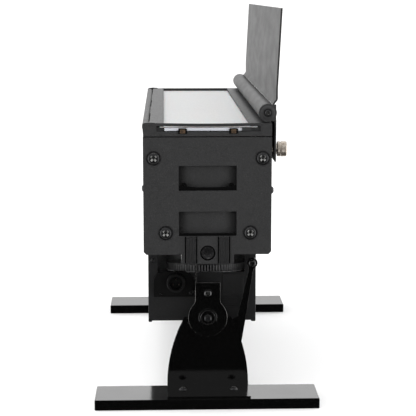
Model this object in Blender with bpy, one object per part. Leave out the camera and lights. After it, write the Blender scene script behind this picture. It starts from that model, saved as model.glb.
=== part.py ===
"""LED batten light on a tilting two-foot stand.

A long lamp head with a hinged lid, a slide-in diffuser and a hinged glare shield. The head and the
driver box under it tilt together between two uprights, and a slotted stay clamps the tilt.

Metres, +Z up. X runs across the head, Y along it, and the origin is on the floor under the middle.
The near end is at -Y and the far end at +Y. Most pieces come in a near and a far copy, made by one
function from an end sign of -1 or +1.
"""
import math

import bmesh
import bpy
from mathutils import Vector

NEAR = -1
FAR = 1
GAP = 0.0003            # clearance between pieces that touch
HOLE_PLAY = 0.0006      # a hole is this much larger in radius than its screw
OVER = 0.001            # a cutter passes this far beyond the faces it cuts

# Stand
FOOT_WIDTH = 0.254
FOOT_DEPTH = 0.054
FOOT_THICKNESS = 0.012
FOOT_CENTRE = 0.225     # from the origin to the middle of each foot, along Y
UPRIGHT_T = 0.003
UPRIGHT_OUT = 0.201     # |Y| of the upright's outer face
UPRIGHT_HALF = 0.047    # half width at the base
UPRIGHT_ARCH = 0.020    # radius of the rounded top, about the pivot
SIDE_RADIUS = 0.166     # radius of the upright's curved sides
SIDE_START = 0.015      # height at which the sides begin to curve in
SHOULDER_DROP = 0.001   # the shoulders lie this far below the pivot

# Tilt pivot
PIVOT_X = 0.002
PIVOT_Z = 0.095
PIVOT = (PIVOT_X, PIVOT_Z)
PIVOT_PLATE_IN = 0.2028
PIVOT_PLATE_T = 0.003
PIVOT_ROUND = 0.0225
NECK_HALF = 0.0144
NECK_TOP = 0.136
NECK_FILLET = 0.008
HANGER_BOLT_Z = 0.1238
HANGER_BOLT_R = 0.003
HANGER_BOTTOM = 0.1190
HANGER_REACH = 0.1650   # |Y| of the inner end of the hanger's shelf
HANGER_IN = 0.1995
HANGER_T = 0.003
FLANGE_IN = 0.1895      # |Y| of the inner edge of the hanger's side flange
FLANGE_T = 0.0018
SHANK = 0.004

# Lamp head
HEAD_HALF_LENGTH = 0.263
END_T = 0.004
HEAD_LEFT = -0.0703
HEAD_RIGHT = 0.0697
HEAD_BOTTOM = 0.1806
HEAD_TOP = 0.3098
SHELL_INSET = 0.0014
SHELL_BOTTOM = 0.1816
WALL = 0.003
FIN_WALL = 0.0055
TAB_HALF = 0.0288
TAB_BOTTOM = 0.1700
RIM = 0.0002            # the ribs and the rail stop this far above the tab's lower edge
VENT_HALF = 0.0316
VENTS = ((0.2013, 0.2283), (0.2514, 0.2787))
RIB_CENTRES = (-0.0183, 0.0178)
RIB_HALF = 0.0052
RIB_TOP = 0.2010
RIB_PROUD = 0.002
END_SCREW_R = 0.0080
END_SCREW_H = 0.0024
HEAD_SCREWS = ((-0.0588, 0.2870), (0.0598, 0.2870), (-0.0460, 0.2048), (0.0466, 0.2048))
RAIL_SCREW_Z = 0.1821
RAIL_RECESS = (0.0085, 0.0022)      # radius and depth
BAFFLE_Z = (0.1960, 0.2840)
CLIP_HALF = 0.0265
CLIP_Z = 0.2560

# Light engine
LED_Z = 0.2620          # top face of the heat sink
LED_COUNT = 16
LED_PITCH = 0.031
SINK_HALF = 0.0625
FIN_TIP = 0.2350
REFLECTOR_FOOT = 0.0215
REFLECTOR_RIM = 0.0640
REFLECTOR_TOP = 0.3085

# Lid
LID_BOTTOM = 0.3108
LID_TOP = 0.3248
LID_CAP_TOP = 0.3260
LID_END_T = 0.004
LID_INNER = HEAD_HALF_LENGTH - LID_END_T    # |Y| of the end walls' inner faces
LEDGE = 0.0440          # half width of the clear opening under the lens plate
PLATE_GROOVE = 0.0472   # half widths of the grooves for the lens plate and the diffuser
SHEET_GROOVE = 0.0545
SHEET_SLOT = (-0.0555, 0.0575)
OPENING_LEFT = -0.0475
OPENING_RIGHT = 0.0460
PLATE_Z = (0.3166, 0.3200)
SHEET_Z = (0.3203, 0.3213)
RAIL_LEFT = -0.0630
HINGE_X = -0.0674
HINGE_Z = 0.3208
HINGE = (HINGE_X, HINGE_Z)
HINGE_R = 0.0038
HINGE_PIN_R = 0.0016
KNUCKLE = 0.098
FIRST_KNUCKLE = -0.213

# Glare shield
TUBE_X = 0.065
TUBE_Z = 0.336
TUBE_CENTRE = (TUBE_X, TUBE_Z)
TUBE_R = 0.0098
TUBE_HALF = 0.2585
TUBE_BORE = 0.0062
ROD_R = 0.0045
PANEL_OUT = 0.0757      # outer face of the panel's upright lower edge
PANEL_LOW = 0.3482
PANEL_BEND = 0.3626
PANEL_TOP = 0.4478
PANEL_TOP_OUT = 0.0800
PANEL_T = 0.002
STRIP_X = (0.0728, 0.0743)
STRIP_Z = (0.2826, 0.3285)
EAR_TOP = 0.3448
EAR_Y = (0.2590, 0.2620)
THUMB_Y = 0.238
THUMB_Z = 0.294
THUMB_R = 0.0028
BOSS_Z = 0.3178         # bosses that hold the strip off the lid
BOSS_Y = (-0.200, 0.0, 0.200)

# Driver box
BOX_LEFT = -0.0665
BOX_RIGHT = 0.0585
BOX_BOTTOM = 0.0865
BOX_FRONT_TOP = 0.1440
BOX_EAR_TOP = 0.1660
BOX_HALF = 0.1853
BOX_WALL = 0.0015
COVER_Z = (0.1340, 0.1355)
NOTCH_LEFT = -0.0556    # the low middle of the end walls, between the ears
NOTCH_RIGHT = 0.0455
COOLER_Y = -0.160
COOLER_HALF = (0.047, 0.022)        # half sizes across the head and along it
COOLER_Z = (0.1425, 0.1525)
SOCKET = (-0.0345, 0.1345)

# Tilt stay
STAY_TOP = (0.0535, 0.1570)
STAY_CLAMP = (0.0318, 0.0532)
STAY_Y = (-0.1975, -0.1950)
STAY_EYE = 0.0062
STAY_FOOT = 0.0072      # half width at the slotted end
STAY_SHOULDER = 0.0082  # half width of the shoulder above the slot
STAY_SLOT = 0.0040
STAY_SLOT_SPAN = (0.0905, 0.1225)
STAY_END = 0.1285
STAY_PIN_R = 0.0030
STUD_R = 0.0025

for old in list(bpy.data.objects):
    bpy.data.objects.remove(old, do_unlink=True)


# ---------------------------------------------------------------- materials

def material(name, colour, roughness, metallic):
    mat = bpy.data.materials.new(name)
    mat.use_nodes = True
    shader = mat.node_tree.nodes["Principled BSDF"]
    shader.inputs["Base Color"].default_value = (*colour, 1.0)
    shader.inputs["Roughness"].default_value = roughness
    shader.inputs["Metallic"].default_value = metallic
    mat.diffuse_color = (*colour, 1.0)
    return mat


TEXTURED_BLACK = material("textured_black", (0.035, 0.035, 0.036), 0.60, 0.0)
GLOSS_BLACK = material("gloss_black", (0.006, 0.006, 0.006), 0.12, 0.0)
SATIN_BLACK = material("satin_black", (0.015, 0.015, 0.016), 0.45, 0.0)
BLACK_SCREW = material("black_screw", (0.012, 0.012, 0.012), 0.35, 0.6)
PLAIN_STEEL = material("plain_steel", (0.55, 0.53, 0.50), 0.35, 1.0)
OPAL = material("opal", (0.80, 0.80, 0.80), 0.40, 0.0)
CLEAR_PLASTIC = material("clear_plastic", (0.85, 0.87, 0.90), 0.10, 0.0)
ALUMINIUM = material("aluminium", (0.60, 0.60, 0.61), 0.40, 1.0)
COPPER = material("copper", (0.24, 0.15, 0.09), 0.40, 0.8)
BOARD = material("board", (0.75, 0.76, 0.75), 0.50, 0.0)
PLASTIC = material("black_plastic", (0.02, 0.02, 0.02), 0.50, 0.0)


# ---------------------------------------------------------------- shape helpers

def across(axis, u, v, t):
    """The point at (u, v) across an axis and t along it."""
    return {"x": (t, u, v), "y": (u, t, v), "z": (u, v, t)}[axis]


def prism(points, axis, start, end):
    """A closed outline, given across the axis, pushed from start to end along it."""
    bm = bmesh.new()
    first = [bm.verts.new(across(axis, u, v, start)) for u, v in points]
    last = [bm.verts.new(across(axis, u, v, end)) for u, v in points]
    count = len(points)
    for i in range(count):
        j = (i + 1) % count
        bm.faces.new((first[i], first[j], last[j], last[i]))
    bm.faces.new(first)
    bm.faces.new(last[::-1])
    bmesh.ops.recalc_face_normals(bm, faces=bm.faces)
    return bm


def block(x, y, z):
    """A plain box from its extents along each axis."""
    x0, x1 = sorted(x)
    z0, z1 = sorted(z)
    return prism(((x0, z0), (x1, z0), (x1, z1), (x0, z1)), "y", y[0], y[1])


def lathe(profile, axis, centre, segments=24, closed=False):
    """A turned piece. The profile is (radius, place along the axis); a closed one makes a ring."""
    bm = bmesh.new()
    rings = []
    for radius, t in profile:
        turn = []
        for i in range(1 if radius == 0 else segments):
            angle = 2 * math.pi * i / segments
            u = centre[0] + radius * math.cos(angle)
            v = centre[1] + radius * math.sin(angle)
            turn.append(bm.verts.new(across(axis, u, v, t)))
        rings.append(turn)
    pairs = list(zip(rings, rings[1:]))
    if closed:
        pairs.append((rings[-1], rings[0]))
    for a, b in pairs:
        for i in range(segments):
            j = (i + 1) % segments
            corners = [a[i % len(a)], a[j % len(a)], b[j % len(b)], b[i % len(b)]]
            bm.faces.new(list(dict.fromkeys(corners)))
    bmesh.ops.recalc_face_normals(bm, faces=bm.faces)
    return bm


def rod(radius, axis, centre, start, end, segments=20):
    return lathe(((0, start), (radius, start), (radius, end), (0, end)), axis, centre, segments)


def tube(inner, outer, axis, centre, start, end, segments=24):
    profile = ((inner, start), (outer, start), (outer, end), (inner, end))
    return lathe(profile, axis, centre, segments, closed=True)


def arc(centre, radius, start, end, steps):
    """Points on an arc, angles in degrees."""
    points = []
    for i in range(steps + 1):
        angle = math.radians(start + (end - start) * i / steps)
        points.append((centre[0] + radius * math.cos(angle), centre[1] + radius * math.sin(angle)))
    return points


def ribbed_disc(centre, radius, depth, ribs):
    """The outline of a disc whose rim has fine ribs."""
    points = []
    for i in range(2 * ribs):
        reach = radius if i % 2 else radius - depth
        angle = math.pi * i / ribs
        points.append((centre[0] + reach * math.cos(angle), centre[1] + reach * math.sin(angle)))
    return points


def raw_object(name, bm):
    mesh = bpy.data.meshes.new(name)
    bm.to_mesh(mesh)
    bm.free()
    obj = bpy.data.objects.new(name, mesh)
    bpy.context.scene.collection.objects.link(obj)
    return obj


def carve(obj, operation, bm):
    """Join or cut one more closed shape, and keep the result as the object's mesh."""
    tool = raw_object("tool", bm)
    modifier = obj.modifiers.new(operation, "BOOLEAN")
    modifier.operation = operation
    modifier.object = tool
    modifier.solver = "EXACT"
    graph = bpy.context.evaluated_depsgraph_get()
    result = bpy.data.meshes.new_from_object(obj.evaluated_get(graph))
    obj.modifiers.clear()
    obj.data = result
    bpy.data.objects.remove(tool, do_unlink=True)


def piece(name, mat, shapes, cuts=(), axis=None):
    """One named part: closed shapes joined by union, then cut."""
    obj = raw_object(name, shapes[0])
    for bm in shapes[1:]:
        carve(obj, "UNION", bm)
    for bm in cuts:
        carve(obj, "DIFFERENCE", bm)
    obj.data.name = name
    obj.data.materials.clear()
    obj.data.materials.append(mat)
    obj.data.shade_smooth()
    obj.data.set_sharp_from_angle(angle=math.radians(35))
    if axis is not None:
        obj.data.transform(axis.matrix_world.inverted())
        obj.parent = axis
    return obj


def joint_axis(name, place, parent=None):
    """An empty on a joint's axis. The pieces that turn or slide with it are its children."""
    empty = bpy.data.objects.new(name, None)
    bpy.context.scene.collection.objects.link(empty)
    empty.parent = parent
    empty.location = Vector(place) - (parent.matrix_world.translation if parent else Vector())
    bpy.context.view_layer.update()
    return empty


def span(end, a, b):
    """Two places along Y at one end, from distances measured out from the middle."""
    return (end * a, end * b)


def side_name(end):
    return "near" if end == NEAR else "far"


def pan_screw(axis, centre, face, out, radius, height, shank=0.0, length=0.0):
    """A domed screw head on a face, its shank going the other way. out is the head's direction."""
    base = face + out * GAP
    tip = face - out * length
    profile = [(0, tip), (shank, tip), (shank, base)] if length else [(0, base)]
    profile += [
        (radius, base),
        (radius, base + out * height * 0.45),
        (radius * 0.80, base + out * height * 0.85),
        (radius * 0.40, base + out * height),
        (0, base + out * height),
    ]
    return lathe(profile, axis, centre, 16)


TILT = joint_axis("tilt_axis", (PIVOT_X, 0, PIVOT_Z))
LID = joint_axis("lid_axis", (HINGE_X, 0, HINGE_Z), TILT)
DIFFUSER = joint_axis("diffuser_slide", (0, 0, SHEET_Z[0]), LID)
SHIELD = joint_axis("shield_axis", (TUBE_X, 0, TUBE_Z), LID)
STAY = joint_axis("stay_axis", (STAY_TOP[0], STAY_Y[0], STAY_TOP[1]), TILT)


# ---------------------------------------------------------------- stand

def foot(end):
    half = FOOT_WIDTH / 2
    y = span(end, FOOT_CENTRE - FOOT_DEPTH / 2, FOOT_CENTRE + FOOT_DEPTH / 2)
    chamfer = 0.0008
    outline = (
        (-half, chamfer), (-half + chamfer, 0), (half - chamfer, 0), (half, chamfer),
        (half, FOOT_THICKNESS - chamfer), (half - chamfer, FOOT_THICKNESS),
        (-half + chamfer, FOOT_THICKNESS), (-half, FOOT_THICKNESS - chamfer),
    )
    piece(f"{side_name(end)}_foot", GLOSS_BLACK, [prism(outline, "y", *y)])


def upright_outline(base):
    """Curved sides, narrow shoulders and a round top about the pivot."""
    shoulder = PIVOT_Z - SHOULDER_DROP
    right = [(UPRIGHT_HALF, base)]
    steps = 10
    for i in range(steps + 1):
        z = SIDE_START + (shoulder - SIDE_START) * i / steps
        sag = SIDE_RADIUS - math.sqrt(SIDE_RADIUS ** 2 - (z - SIDE_START) ** 2)
        right.append((UPRIGHT_HALF - sag, z))
    right = [(PIVOT_X + x, z) for x, z in right]
    left = [(2 * PIVOT_X - x, z) for x, z in reversed(right)]
    return right + arc(PIVOT, UPRIGHT_ARCH, 0, 180, 16) + left


def upright(end):
    base = FOOT_THICKNESS + GAP
    inner = UPRIGHT_OUT - UPRIGHT_T
    outer_edge = FOOT_CENTRE + FOOT_DEPTH / 2
    plate = prism(upright_outline(base), "y", *span(end, inner, UPRIGHT_OUT))
    flange = block((PIVOT_X - UPRIGHT_HALF, PIVOT_X + UPRIGHT_HALF),
                   span(end, UPRIGHT_OUT - UPRIGHT_T / 2, outer_edge), (base, base + UPRIGHT_T))
    cuts = [rod(SHANK + HOLE_PLAY, "y", PIVOT, *span(end, inner - OVER, UPRIGHT_OUT + OVER))]
    piece(f"{side_name(end)}_upright", GLOSS_BLACK, [plate, flange], cuts)


# ---------------------------------------------------------------- tilt pivot

def pivot_plate(end):
    """A keyhole plate: a round plate about the pivot with a straight neck above."""
    reach = PIVOT_ROUND + NECK_FILLET
    rise = math.sqrt(reach ** 2 - (NECK_HALF + NECK_FILLET) ** 2)
    lean = math.degrees(math.atan2(rise, NECK_HALF + NECK_FILLET))
    fillet = (PIVOT_X + NECK_HALF + NECK_FILLET, PIVOT_Z + rise)
    right = arc(PIVOT, PIVOT_ROUND, -90, lean, 14)
    right += arc(fillet, NECK_FILLET, 180 + lean, 180, 4)[1:]
    right.append((PIVOT_X + NECK_HALF, NECK_TOP))
    left = [(2 * PIVOT_X - x, z) for x, z in reversed(right[1:])]
    y = span(end, PIVOT_PLATE_IN, PIVOT_PLATE_IN + PIVOT_PLATE_T)
    through = span(end, PIVOT_PLATE_IN - OVER, PIVOT_PLATE_IN + PIVOT_PLATE_T + OVER)
    cuts = [rod(SHANK + HOLE_PLAY, "y", PIVOT, *through),
            rod(HANGER_BOLT_R + HOLE_PLAY, "y", (PIVOT_X, HANGER_BOLT_Z), *through, 16)]
    piece(f"{side_name(end)}_pivot_plate", GLOSS_BLACK, [prism(right + left, "y", *y)], cuts, axis=TILT)


def hanger(end):
    """A bracket that drops from the rail under the head and carries the pivot plate.

    A thin flange at its left joins the shelf under the rail to the pad behind the plate's neck.
    """
    x = (PIVOT_X - NECK_HALF, PIVOT_X + NECK_HALF)
    top = TAB_BOTTOM - GAP
    pad = block(x, span(end, HANGER_IN, HANGER_IN + HANGER_T), (HANGER_BOTTOM, NECK_TOP))
    flange = block((x[0], x[0] + FLANGE_T), span(end, FLANGE_IN, HANGER_IN + HANGER_T), (HANGER_BOTTOM, top))
    shelf = block(x, span(end, HANGER_REACH, HANGER_IN + HANGER_T / 2), (top - HANGER_T, top))
    through = span(end, HANGER_IN - OVER, HANGER_IN + HANGER_T + OVER)
    cuts = [rod(HANGER_BOLT_R + HOLE_PLAY, "y", (PIVOT_X, HANGER_BOLT_Z), *through, 16)]
    piece(f"{side_name(end)}_hanger", GLOSS_BLACK, [flange, pad, shelf], cuts, axis=TILT)


def pivot_hardware(end):
    """The flanged pivot bolt, the friction washer it clamps, and the bolt to the hanger."""
    name = side_name(end)
    plate_face = PIVOT_PLATE_IN + PIVOT_PLATE_T
    washer_r = 0.0140
    flange_r, flange_t = 0.0105, 0.0012
    pivot_head_r, pivot_head_h, pivot_length = 0.0068, 0.0040, 0.0145
    bolt_head_r, bolt_head_h, bolt_length = 0.0056, 0.0032, 0.0112
    piece(f"{name}_friction_washer", PLASTIC,
          [tube(SHANK + GAP, washer_r, "y", PIVOT, *span(end, UPRIGHT_OUT + GAP, PIVOT_PLATE_IN - GAP))],
          axis=TILT)
    flange = rod(flange_r, "y", PIVOT, *span(end, plate_face + GAP, plate_face + GAP + flange_t), 24)
    head_face = end * (plate_face + flange_t)
    head = pan_screw("y", PIVOT, head_face, end, pivot_head_r, pivot_head_h, SHANK, pivot_length)
    piece(f"{name}_pivot_bolt", BLACK_SCREW, [head, flange], axis=TILT)
    place = (PIVOT_X, HANGER_BOLT_Z)
    bolt = pan_screw("y", place, end * plate_face, end, bolt_head_r, bolt_head_h, HANGER_BOLT_R, bolt_length)
    piece(f"{name}_hanger_bolt", BLACK_SCREW, [bolt], axis=TILT)


def tilt_stay():
    """A tapered strap with an eye at its top and a slot at its foot.

    Its outline is given by distances down the strap from the eye and offsets across it.
    """
    top = Vector(STAY_TOP)
    along = (Vector(STAY_CLAMP) - top).normalized()
    sideways = Vector((-along.y, along.x))

    def at(distance, offset):
        point = top + along * distance + sideways * offset
        return (point.x, point.y)

    heading = math.degrees(math.atan2(along.y, along.x))
    outline = arc(top, STAY_EYE, heading + 30, heading + 330, 14)
    outline += [at(0.010, -0.0022), at(0.038, -0.0027), at(0.0655, -0.0038), at(0.0685, -STAY_SHOULDER)]
    foot_centre = at(STAY_END - STAY_FOOT, 0)
    outline += arc(foot_centre, STAY_FOOT, heading - 90, heading + 90, 10)
    outline += [at(0.092, STAY_FOOT), at(0.057, 0.0058), at(0.010, 0.0028)]
    slot = arc(at(STAY_SLOT_SPAN[0], 0), STAY_SLOT, heading + 90, heading + 270, 8)
    slot += arc(at(STAY_SLOT_SPAN[1] - STAY_SLOT, 0), STAY_SLOT, heading - 90, heading + 90, 8)
    through = (STAY_Y[0] - OVER, STAY_Y[1] + OVER)
    cuts = [prism(slot, "y", *through), rod(STAY_PIN_R + 0.0004, "y", STAY_TOP, *through, 16)]
    piece("tilt_stay", GLOSS_BLACK, [prism(outline, "y", *STAY_Y)], cuts, axis=STAY)


def stay_hardware():
    """The pin that the stay hangs from, and the stud and knob that stand in its slot."""
    pin_head_r, pin_head_h, pin_length = 0.0052, 0.0022, 0.0155
    pin = pan_screw("y", STAY_TOP, STAY_Y[0], NEAR, pin_head_r, pin_head_h, STAY_PIN_R, pin_length)
    piece("stay_pin", BLACK_SCREW, [pin], axis=TILT)
    knob_r = 0.0074
    knob_start = STAY_Y[1] + 0.0004
    knob_end = knob_start + 0.0036
    stud_start = GAP - (UPRIGHT_OUT - UPRIGHT_T)
    stud_end = knob_end + 0.0020
    profile = ((0, stud_start), (STUD_R, stud_start), (STUD_R, knob_start), (knob_r, knob_start),
               (knob_r, knob_end), (STUD_R, knob_end), (STUD_R, stud_end), (0, stud_end))
    piece("stay_clamp", BLACK_SCREW, [lathe(profile, "y", STAY_CLAMP, 12)])


# ---------------------------------------------------------------- lamp head

def housing_shell():
    """A U-shaped extrusion, finned along the lower part of both sides."""
    left = HEAD_LEFT + SHELL_INSET
    right = HEAD_RIGHT - SHELL_INSET
    bottom = SHELL_BOTTOM
    top = HEAD_TOP - GAP
    fins, first, fin_pitch = 9, 0.190, 0.009
    groove, depth, slope = 0.0045, 0.0022, 0.0006

    def side_points(x, inward):
        points = [(x, bottom)]
        for i in range(fins):
            z = first + i * fin_pitch
            points += [(x, z), (x + inward * depth, z + slope),
                       (x + inward * depth, z + groove - slope), (x, z + groove)]
        return points + [(x, top)]

    step_top = first + fins * fin_pitch
    step_start = step_top - 0.003
    inside = [
        (left + WALL, top), (left + WALL, step_top), (left + FIN_WALL, step_start),
        (left + FIN_WALL, bottom + WALL), (right - FIN_WALL, bottom + WALL),
        (right - FIN_WALL, step_start), (right - WALL, step_top), (right - WALL, top),
    ]
    outline = side_points(right, -1) + inside[::-1] + side_points(left, 1)[::-1]
    half = HEAD_HALF_LENGTH - END_T - GAP
    piece("housing_shell", TEXTURED_BLACK, [prism(outline, "y", -half, half)], axis=TILT)


def end_plate(end):
    """A cast end plate with two vent windows, a tab over the rail's end and two upright ribs."""
    outer = HEAD_HALF_LENGTH
    inner = outer - END_T
    corner = 0.003
    outline = [(HEAD_LEFT, HEAD_TOP), (HEAD_LEFT, HEAD_BOTTOM + corner), (HEAD_LEFT + corner, HEAD_BOTTOM),
               (-TAB_HALF, HEAD_BOTTOM), (-TAB_HALF, TAB_BOTTOM), (TAB_HALF, TAB_BOTTOM),
               (TAB_HALF, HEAD_BOTTOM), (HEAD_RIGHT - corner, HEAD_BOTTOM),
               (HEAD_RIGHT, HEAD_BOTTOM + corner), (HEAD_RIGHT, HEAD_TOP)]
    shapes = [prism(outline, "y", *span(end, inner, outer))]
    for centre in RIB_CENTRES:
        shapes.append(block((centre - RIB_HALF, centre + RIB_HALF),
                            span(end, outer - END_T / 4, outer + RIB_PROUD), (TAB_BOTTOM + RIM, RIB_TOP)))
    clear = outer + RIB_PROUD + OVER
    cuts = [block((-VENT_HALF, VENT_HALF), span(end, inner - OVER, clear), z) for z in VENTS]
    recess_r, recess_depth = RAIL_RECESS
    cuts.append(rod(recess_r, "y", (0, RAIL_SCREW_Z), *span(end, outer - recess_depth, clear), 24))
    piece(f"{side_name(end)}_end_plate", TEXTURED_BLACK, shapes, cuts, axis=TILT)


def vent_baffle(end):
    """A bowed plate behind both windows that keeps light in and lets air out."""
    half = 0.036
    bow = 0.006
    thickness = 0.0012
    crown = HEAD_HALF_LENGTH - END_T - 0.0012
    steps = 12
    front, back = [], []
    for i in range(steps + 1):
        x = -half + 2 * half * i / steps
        y = crown - bow * (x / half) ** 2
        front.append((x, end * y))
        back.append((x, end * (y - thickness)))
    piece(f"{side_name(end)}_vent_baffle", SATIN_BLACK,
          [prism(front + back[::-1], "z", *BAFFLE_Z)], axis=TILT)


def vent_clip(end):
    """A bowed spring strip along the lower edge of the upper window, held by two small eyes."""
    y = span(end, HEAD_HALF_LENGTH + GAP, HEAD_HALF_LENGTH + 0.0015)
    bow = 0.0040
    half_height = 0.0011
    eye_r = 0.0033
    steps = 10
    upper, lower = [], []
    for i in range(steps + 1):
        x = -CLIP_HALF + 2 * CLIP_HALF * i / steps
        z = CLIP_Z - bow * (1 - (x / CLIP_HALF) ** 2)
        upper.append((x, z + half_height))
        lower.append((x, z - half_height))
    strip = prism(upper + lower[::-1], "y", *y)
    eyes = [rod(eye_r, "y", (side * CLIP_HALF, CLIP_Z), *y, 12) for side in (-1, 1)]
    piece(f"{side_name(end)}_vent_clip", SATIN_BLACK, [strip] + eyes, axis=TILT)


def end_screws(end):
    """The four pan-head screws of one end plate."""
    for i, place in enumerate(HEAD_SCREWS, start=1):
        head = pan_screw("y", place, end * HEAD_HALF_LENGTH, end, END_SCREW_R, END_SCREW_H)
        piece(f"{side_name(end)}_end_screw_{i}", BLACK_SCREW, [head], axis=TILT)


def mounting_rail():
    """A channel along the underside of the head, open downwards through a slot."""
    top = SHELL_BOTTOM - GAP
    bottom = TAB_BOTTOM + RIM
    wall = 0.0022
    slot = 0.0050
    half = TAB_HALF
    outline = [(-half, bottom), (-slot, bottom), (-slot, bottom + wall), (-half + wall, bottom + wall),
               (-half + wall, top - wall), (half - wall, top - wall), (half - wall, bottom + wall),
               (slot, bottom + wall), (slot, bottom), (half, bottom), (half, top), (-half, top)]
    length = HEAD_HALF_LENGTH - END_T - GAP
    piece("mounting_rail", ALUMINIUM, [prism(outline, "y", -length, length)], axis=TILT)


def led_places():
    return [(i - (LED_COUNT - 1) / 2) * LED_PITCH for i in range(LED_COUNT)]


def heat_sink():
    """A flat plate across the head with long fins below it."""
    half = 0.250
    under = LED_Z - 0.007
    fin_half, fin_pitch, fins_each_side = 0.0012, 0.011, 4
    outline = [(-SINK_HALF, LED_Z), (-SINK_HALF, under)]
    for i in range(-fins_each_side, fins_each_side + 1):
        x = i * fin_pitch
        outline += [(x - fin_half, under), (x - fin_half, FIN_TIP),
                    (x + fin_half, FIN_TIP), (x + fin_half, under)]
    outline += [(SINK_HALF, under), (SINK_HALF, LED_Z)]
    piece("heat_sink", ALUMINIUM, [prism(outline, "y", -half, half)], axis=TILT)


def led_board_and_lenses():
    """The LED board on the heat sink, and the row of lenses moulded on one strip."""
    board = ((-0.020, 0.020), (-0.246, 0.246), (LED_Z + GAP, LED_Z + 0.0019))
    piece("led_board", BOARD, [block(*board)], axis=TILT)
    base = board[2][1] + GAP
    strip = block((-0.012, 0.012), (-0.244, 0.244), (base, base + 0.0020))
    profile = ((0, base + 0.0010), (0.0070, base + 0.0010), (0.0105, base + 0.0090),
               (0.0080, base + 0.0120), (0, base + 0.0135))
    domes = [lathe(profile, "z", (0, y), 12) for y in led_places()]
    piece("led_lenses", CLEAR_PLASTIC, [strip] + domes, axis=TILT)


def reflector():
    """A tapered trough from the edges of the board up to the lid, with thin closed ends."""
    half, end_t = 0.2490, 0.0015
    foot_t, rim_t = 0.0014, 0.0010
    foot_z = LED_Z + 0.0022
    foot, rim, top = REFLECTOR_FOOT, REFLECTOR_RIM, REFLECTOR_TOP
    outer = ((-foot - foot_t, foot_z), (foot + foot_t, foot_z), (rim + rim_t, top), (-rim - rim_t, top))
    hollow = ((-foot, foot_z - OVER), (foot, foot_z - OVER), (foot, foot_z), (rim, top),
              (rim, top + OVER), (-rim, top + OVER), (-rim, top), (-foot, foot_z))
    inner_half = half - end_t
    piece("reflector", OPAL, [prism(outer, "y", -half, half)], [prism(hollow, "y", -inner_half, inner_half)],
          axis=TILT)


# ---------------------------------------------------------------- lid

def knuckles(parity):
    """Barrel lengths of the long hinge: even ones turn with the lid, odd ones stay with the head."""
    end = LID_INNER - 0.0005
    edges = [-end] + [FIRST_KNUCKLE + i * KNUCKLE for i in range(5)] + [end]
    pairs = [(a + GAP, b - GAP) for a, b in zip(edges, edges[1:])]
    return pairs[parity::2]


def lid_rails():
    """The two side rails, each with a ledge for the lens plate and a groove for the diffuser."""
    overlap = LID_INNER + OVER
    ledge_top = PLATE_Z[0] - GAP
    sheet_shelf = PLATE_Z[1] + GAP
    lip_under = SHEET_Z[1] + 0.0005
    chamfer = 0.0007
    crown = [(RAIL_LEFT, LID_TOP - chamfer), (RAIL_LEFT + 0.002, LID_TOP),
             (OPENING_LEFT - 0.003, LID_TOP), (OPENING_LEFT, LID_TOP - chamfer)]
    left = [(RAIL_LEFT, LID_BOTTOM)] + crown + [
        (OPENING_LEFT, lip_under), (-SHEET_GROOVE, lip_under), (-SHEET_GROOVE, sheet_shelf),
        (-PLATE_GROOVE, sheet_shelf), (-PLATE_GROOVE, ledge_top), (-LEDGE, ledge_top), (-LEDGE, LID_BOTTOM)]
    right = [(LEDGE, LID_BOTTOM), (LEDGE, ledge_top), (PLATE_GROOVE, ledge_top),
             (PLATE_GROOVE, sheet_shelf), (SHEET_GROOVE, sheet_shelf), (SHEET_GROOVE, lip_under),
             (OPENING_RIGHT, lip_under), (OPENING_RIGHT, LID_TOP), (HEAD_RIGHT, LID_TOP),
             (HEAD_RIGHT, LID_BOTTOM)]
    return [prism(left, "y", -overlap, overlap), prism(right, "y", -overlap, overlap)]


def lid_ends():
    """The closed far wall, the near wall with its slot for the sheets, and the sagging bar over it."""
    half = HEAD_HALF_LENGTH
    lid_left = HEAD_LEFT - 0.0007
    slot_left, slot_right = SHEET_SLOT
    slot_floor = PLATE_Z[0] - 2 * GAP
    cap = [(lid_left + 0.0012, LID_BOTTOM), (lid_left, LID_CAP_TOP - 0.0025),
           (lid_left + 0.002, LID_CAP_TOP - 0.0006), (RAIL_LEFT, LID_CAP_TOP),
           (slot_left - 0.002, LID_CAP_TOP - 0.0004), (slot_left, LID_TOP)]
    corner = [(HEAD_RIGHT, LID_TOP), (HEAD_RIGHT, LID_BOTTOM)]
    slot = [(slot_left, slot_floor), (slot_right, slot_floor), (slot_right, LID_TOP)]
    shapes = [prism(cap + corner, "y", LID_INNER, half), prism(cap + slot + corner, "y", -half, -LID_INNER)]
    bar_top, bar_height, bar_t, sag = LID_TOP + 0.0006, 0.0026, 0.0015, 0.0008
    steps = 10
    upper, lower = [], []
    for i in range(steps + 1):
        t = i / steps
        x = slot_left - GAP + (slot_right - slot_left + 2 * GAP) * t
        top = bar_top - sag * math.sin(math.pi * t)
        upper.append((x, top))
        lower.append((x, top - bar_height))
    shapes.append(prism(upper + lower[::-1], "y", -half, bar_t - half))
    return shapes


def lid_frame():
    shapes = lid_rails() + lid_ends()
    web = 0.0016
    for y in knuckles(0):
        shapes.append(rod(HINGE_R, "y", HINGE, *y, 16))
        shapes.append(block((HINGE_X, RAIL_LEFT + OVER), y, (HINGE_Z - web, HINGE_Z + web)))
    bore = rod(HINGE_PIN_R + GAP, "y", HINGE, -LID_INNER - OVER, LID_INNER + OVER, 12)
    piece("lid_frame", TEXTURED_BLACK, shapes, [bore], axis=LID)


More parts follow.
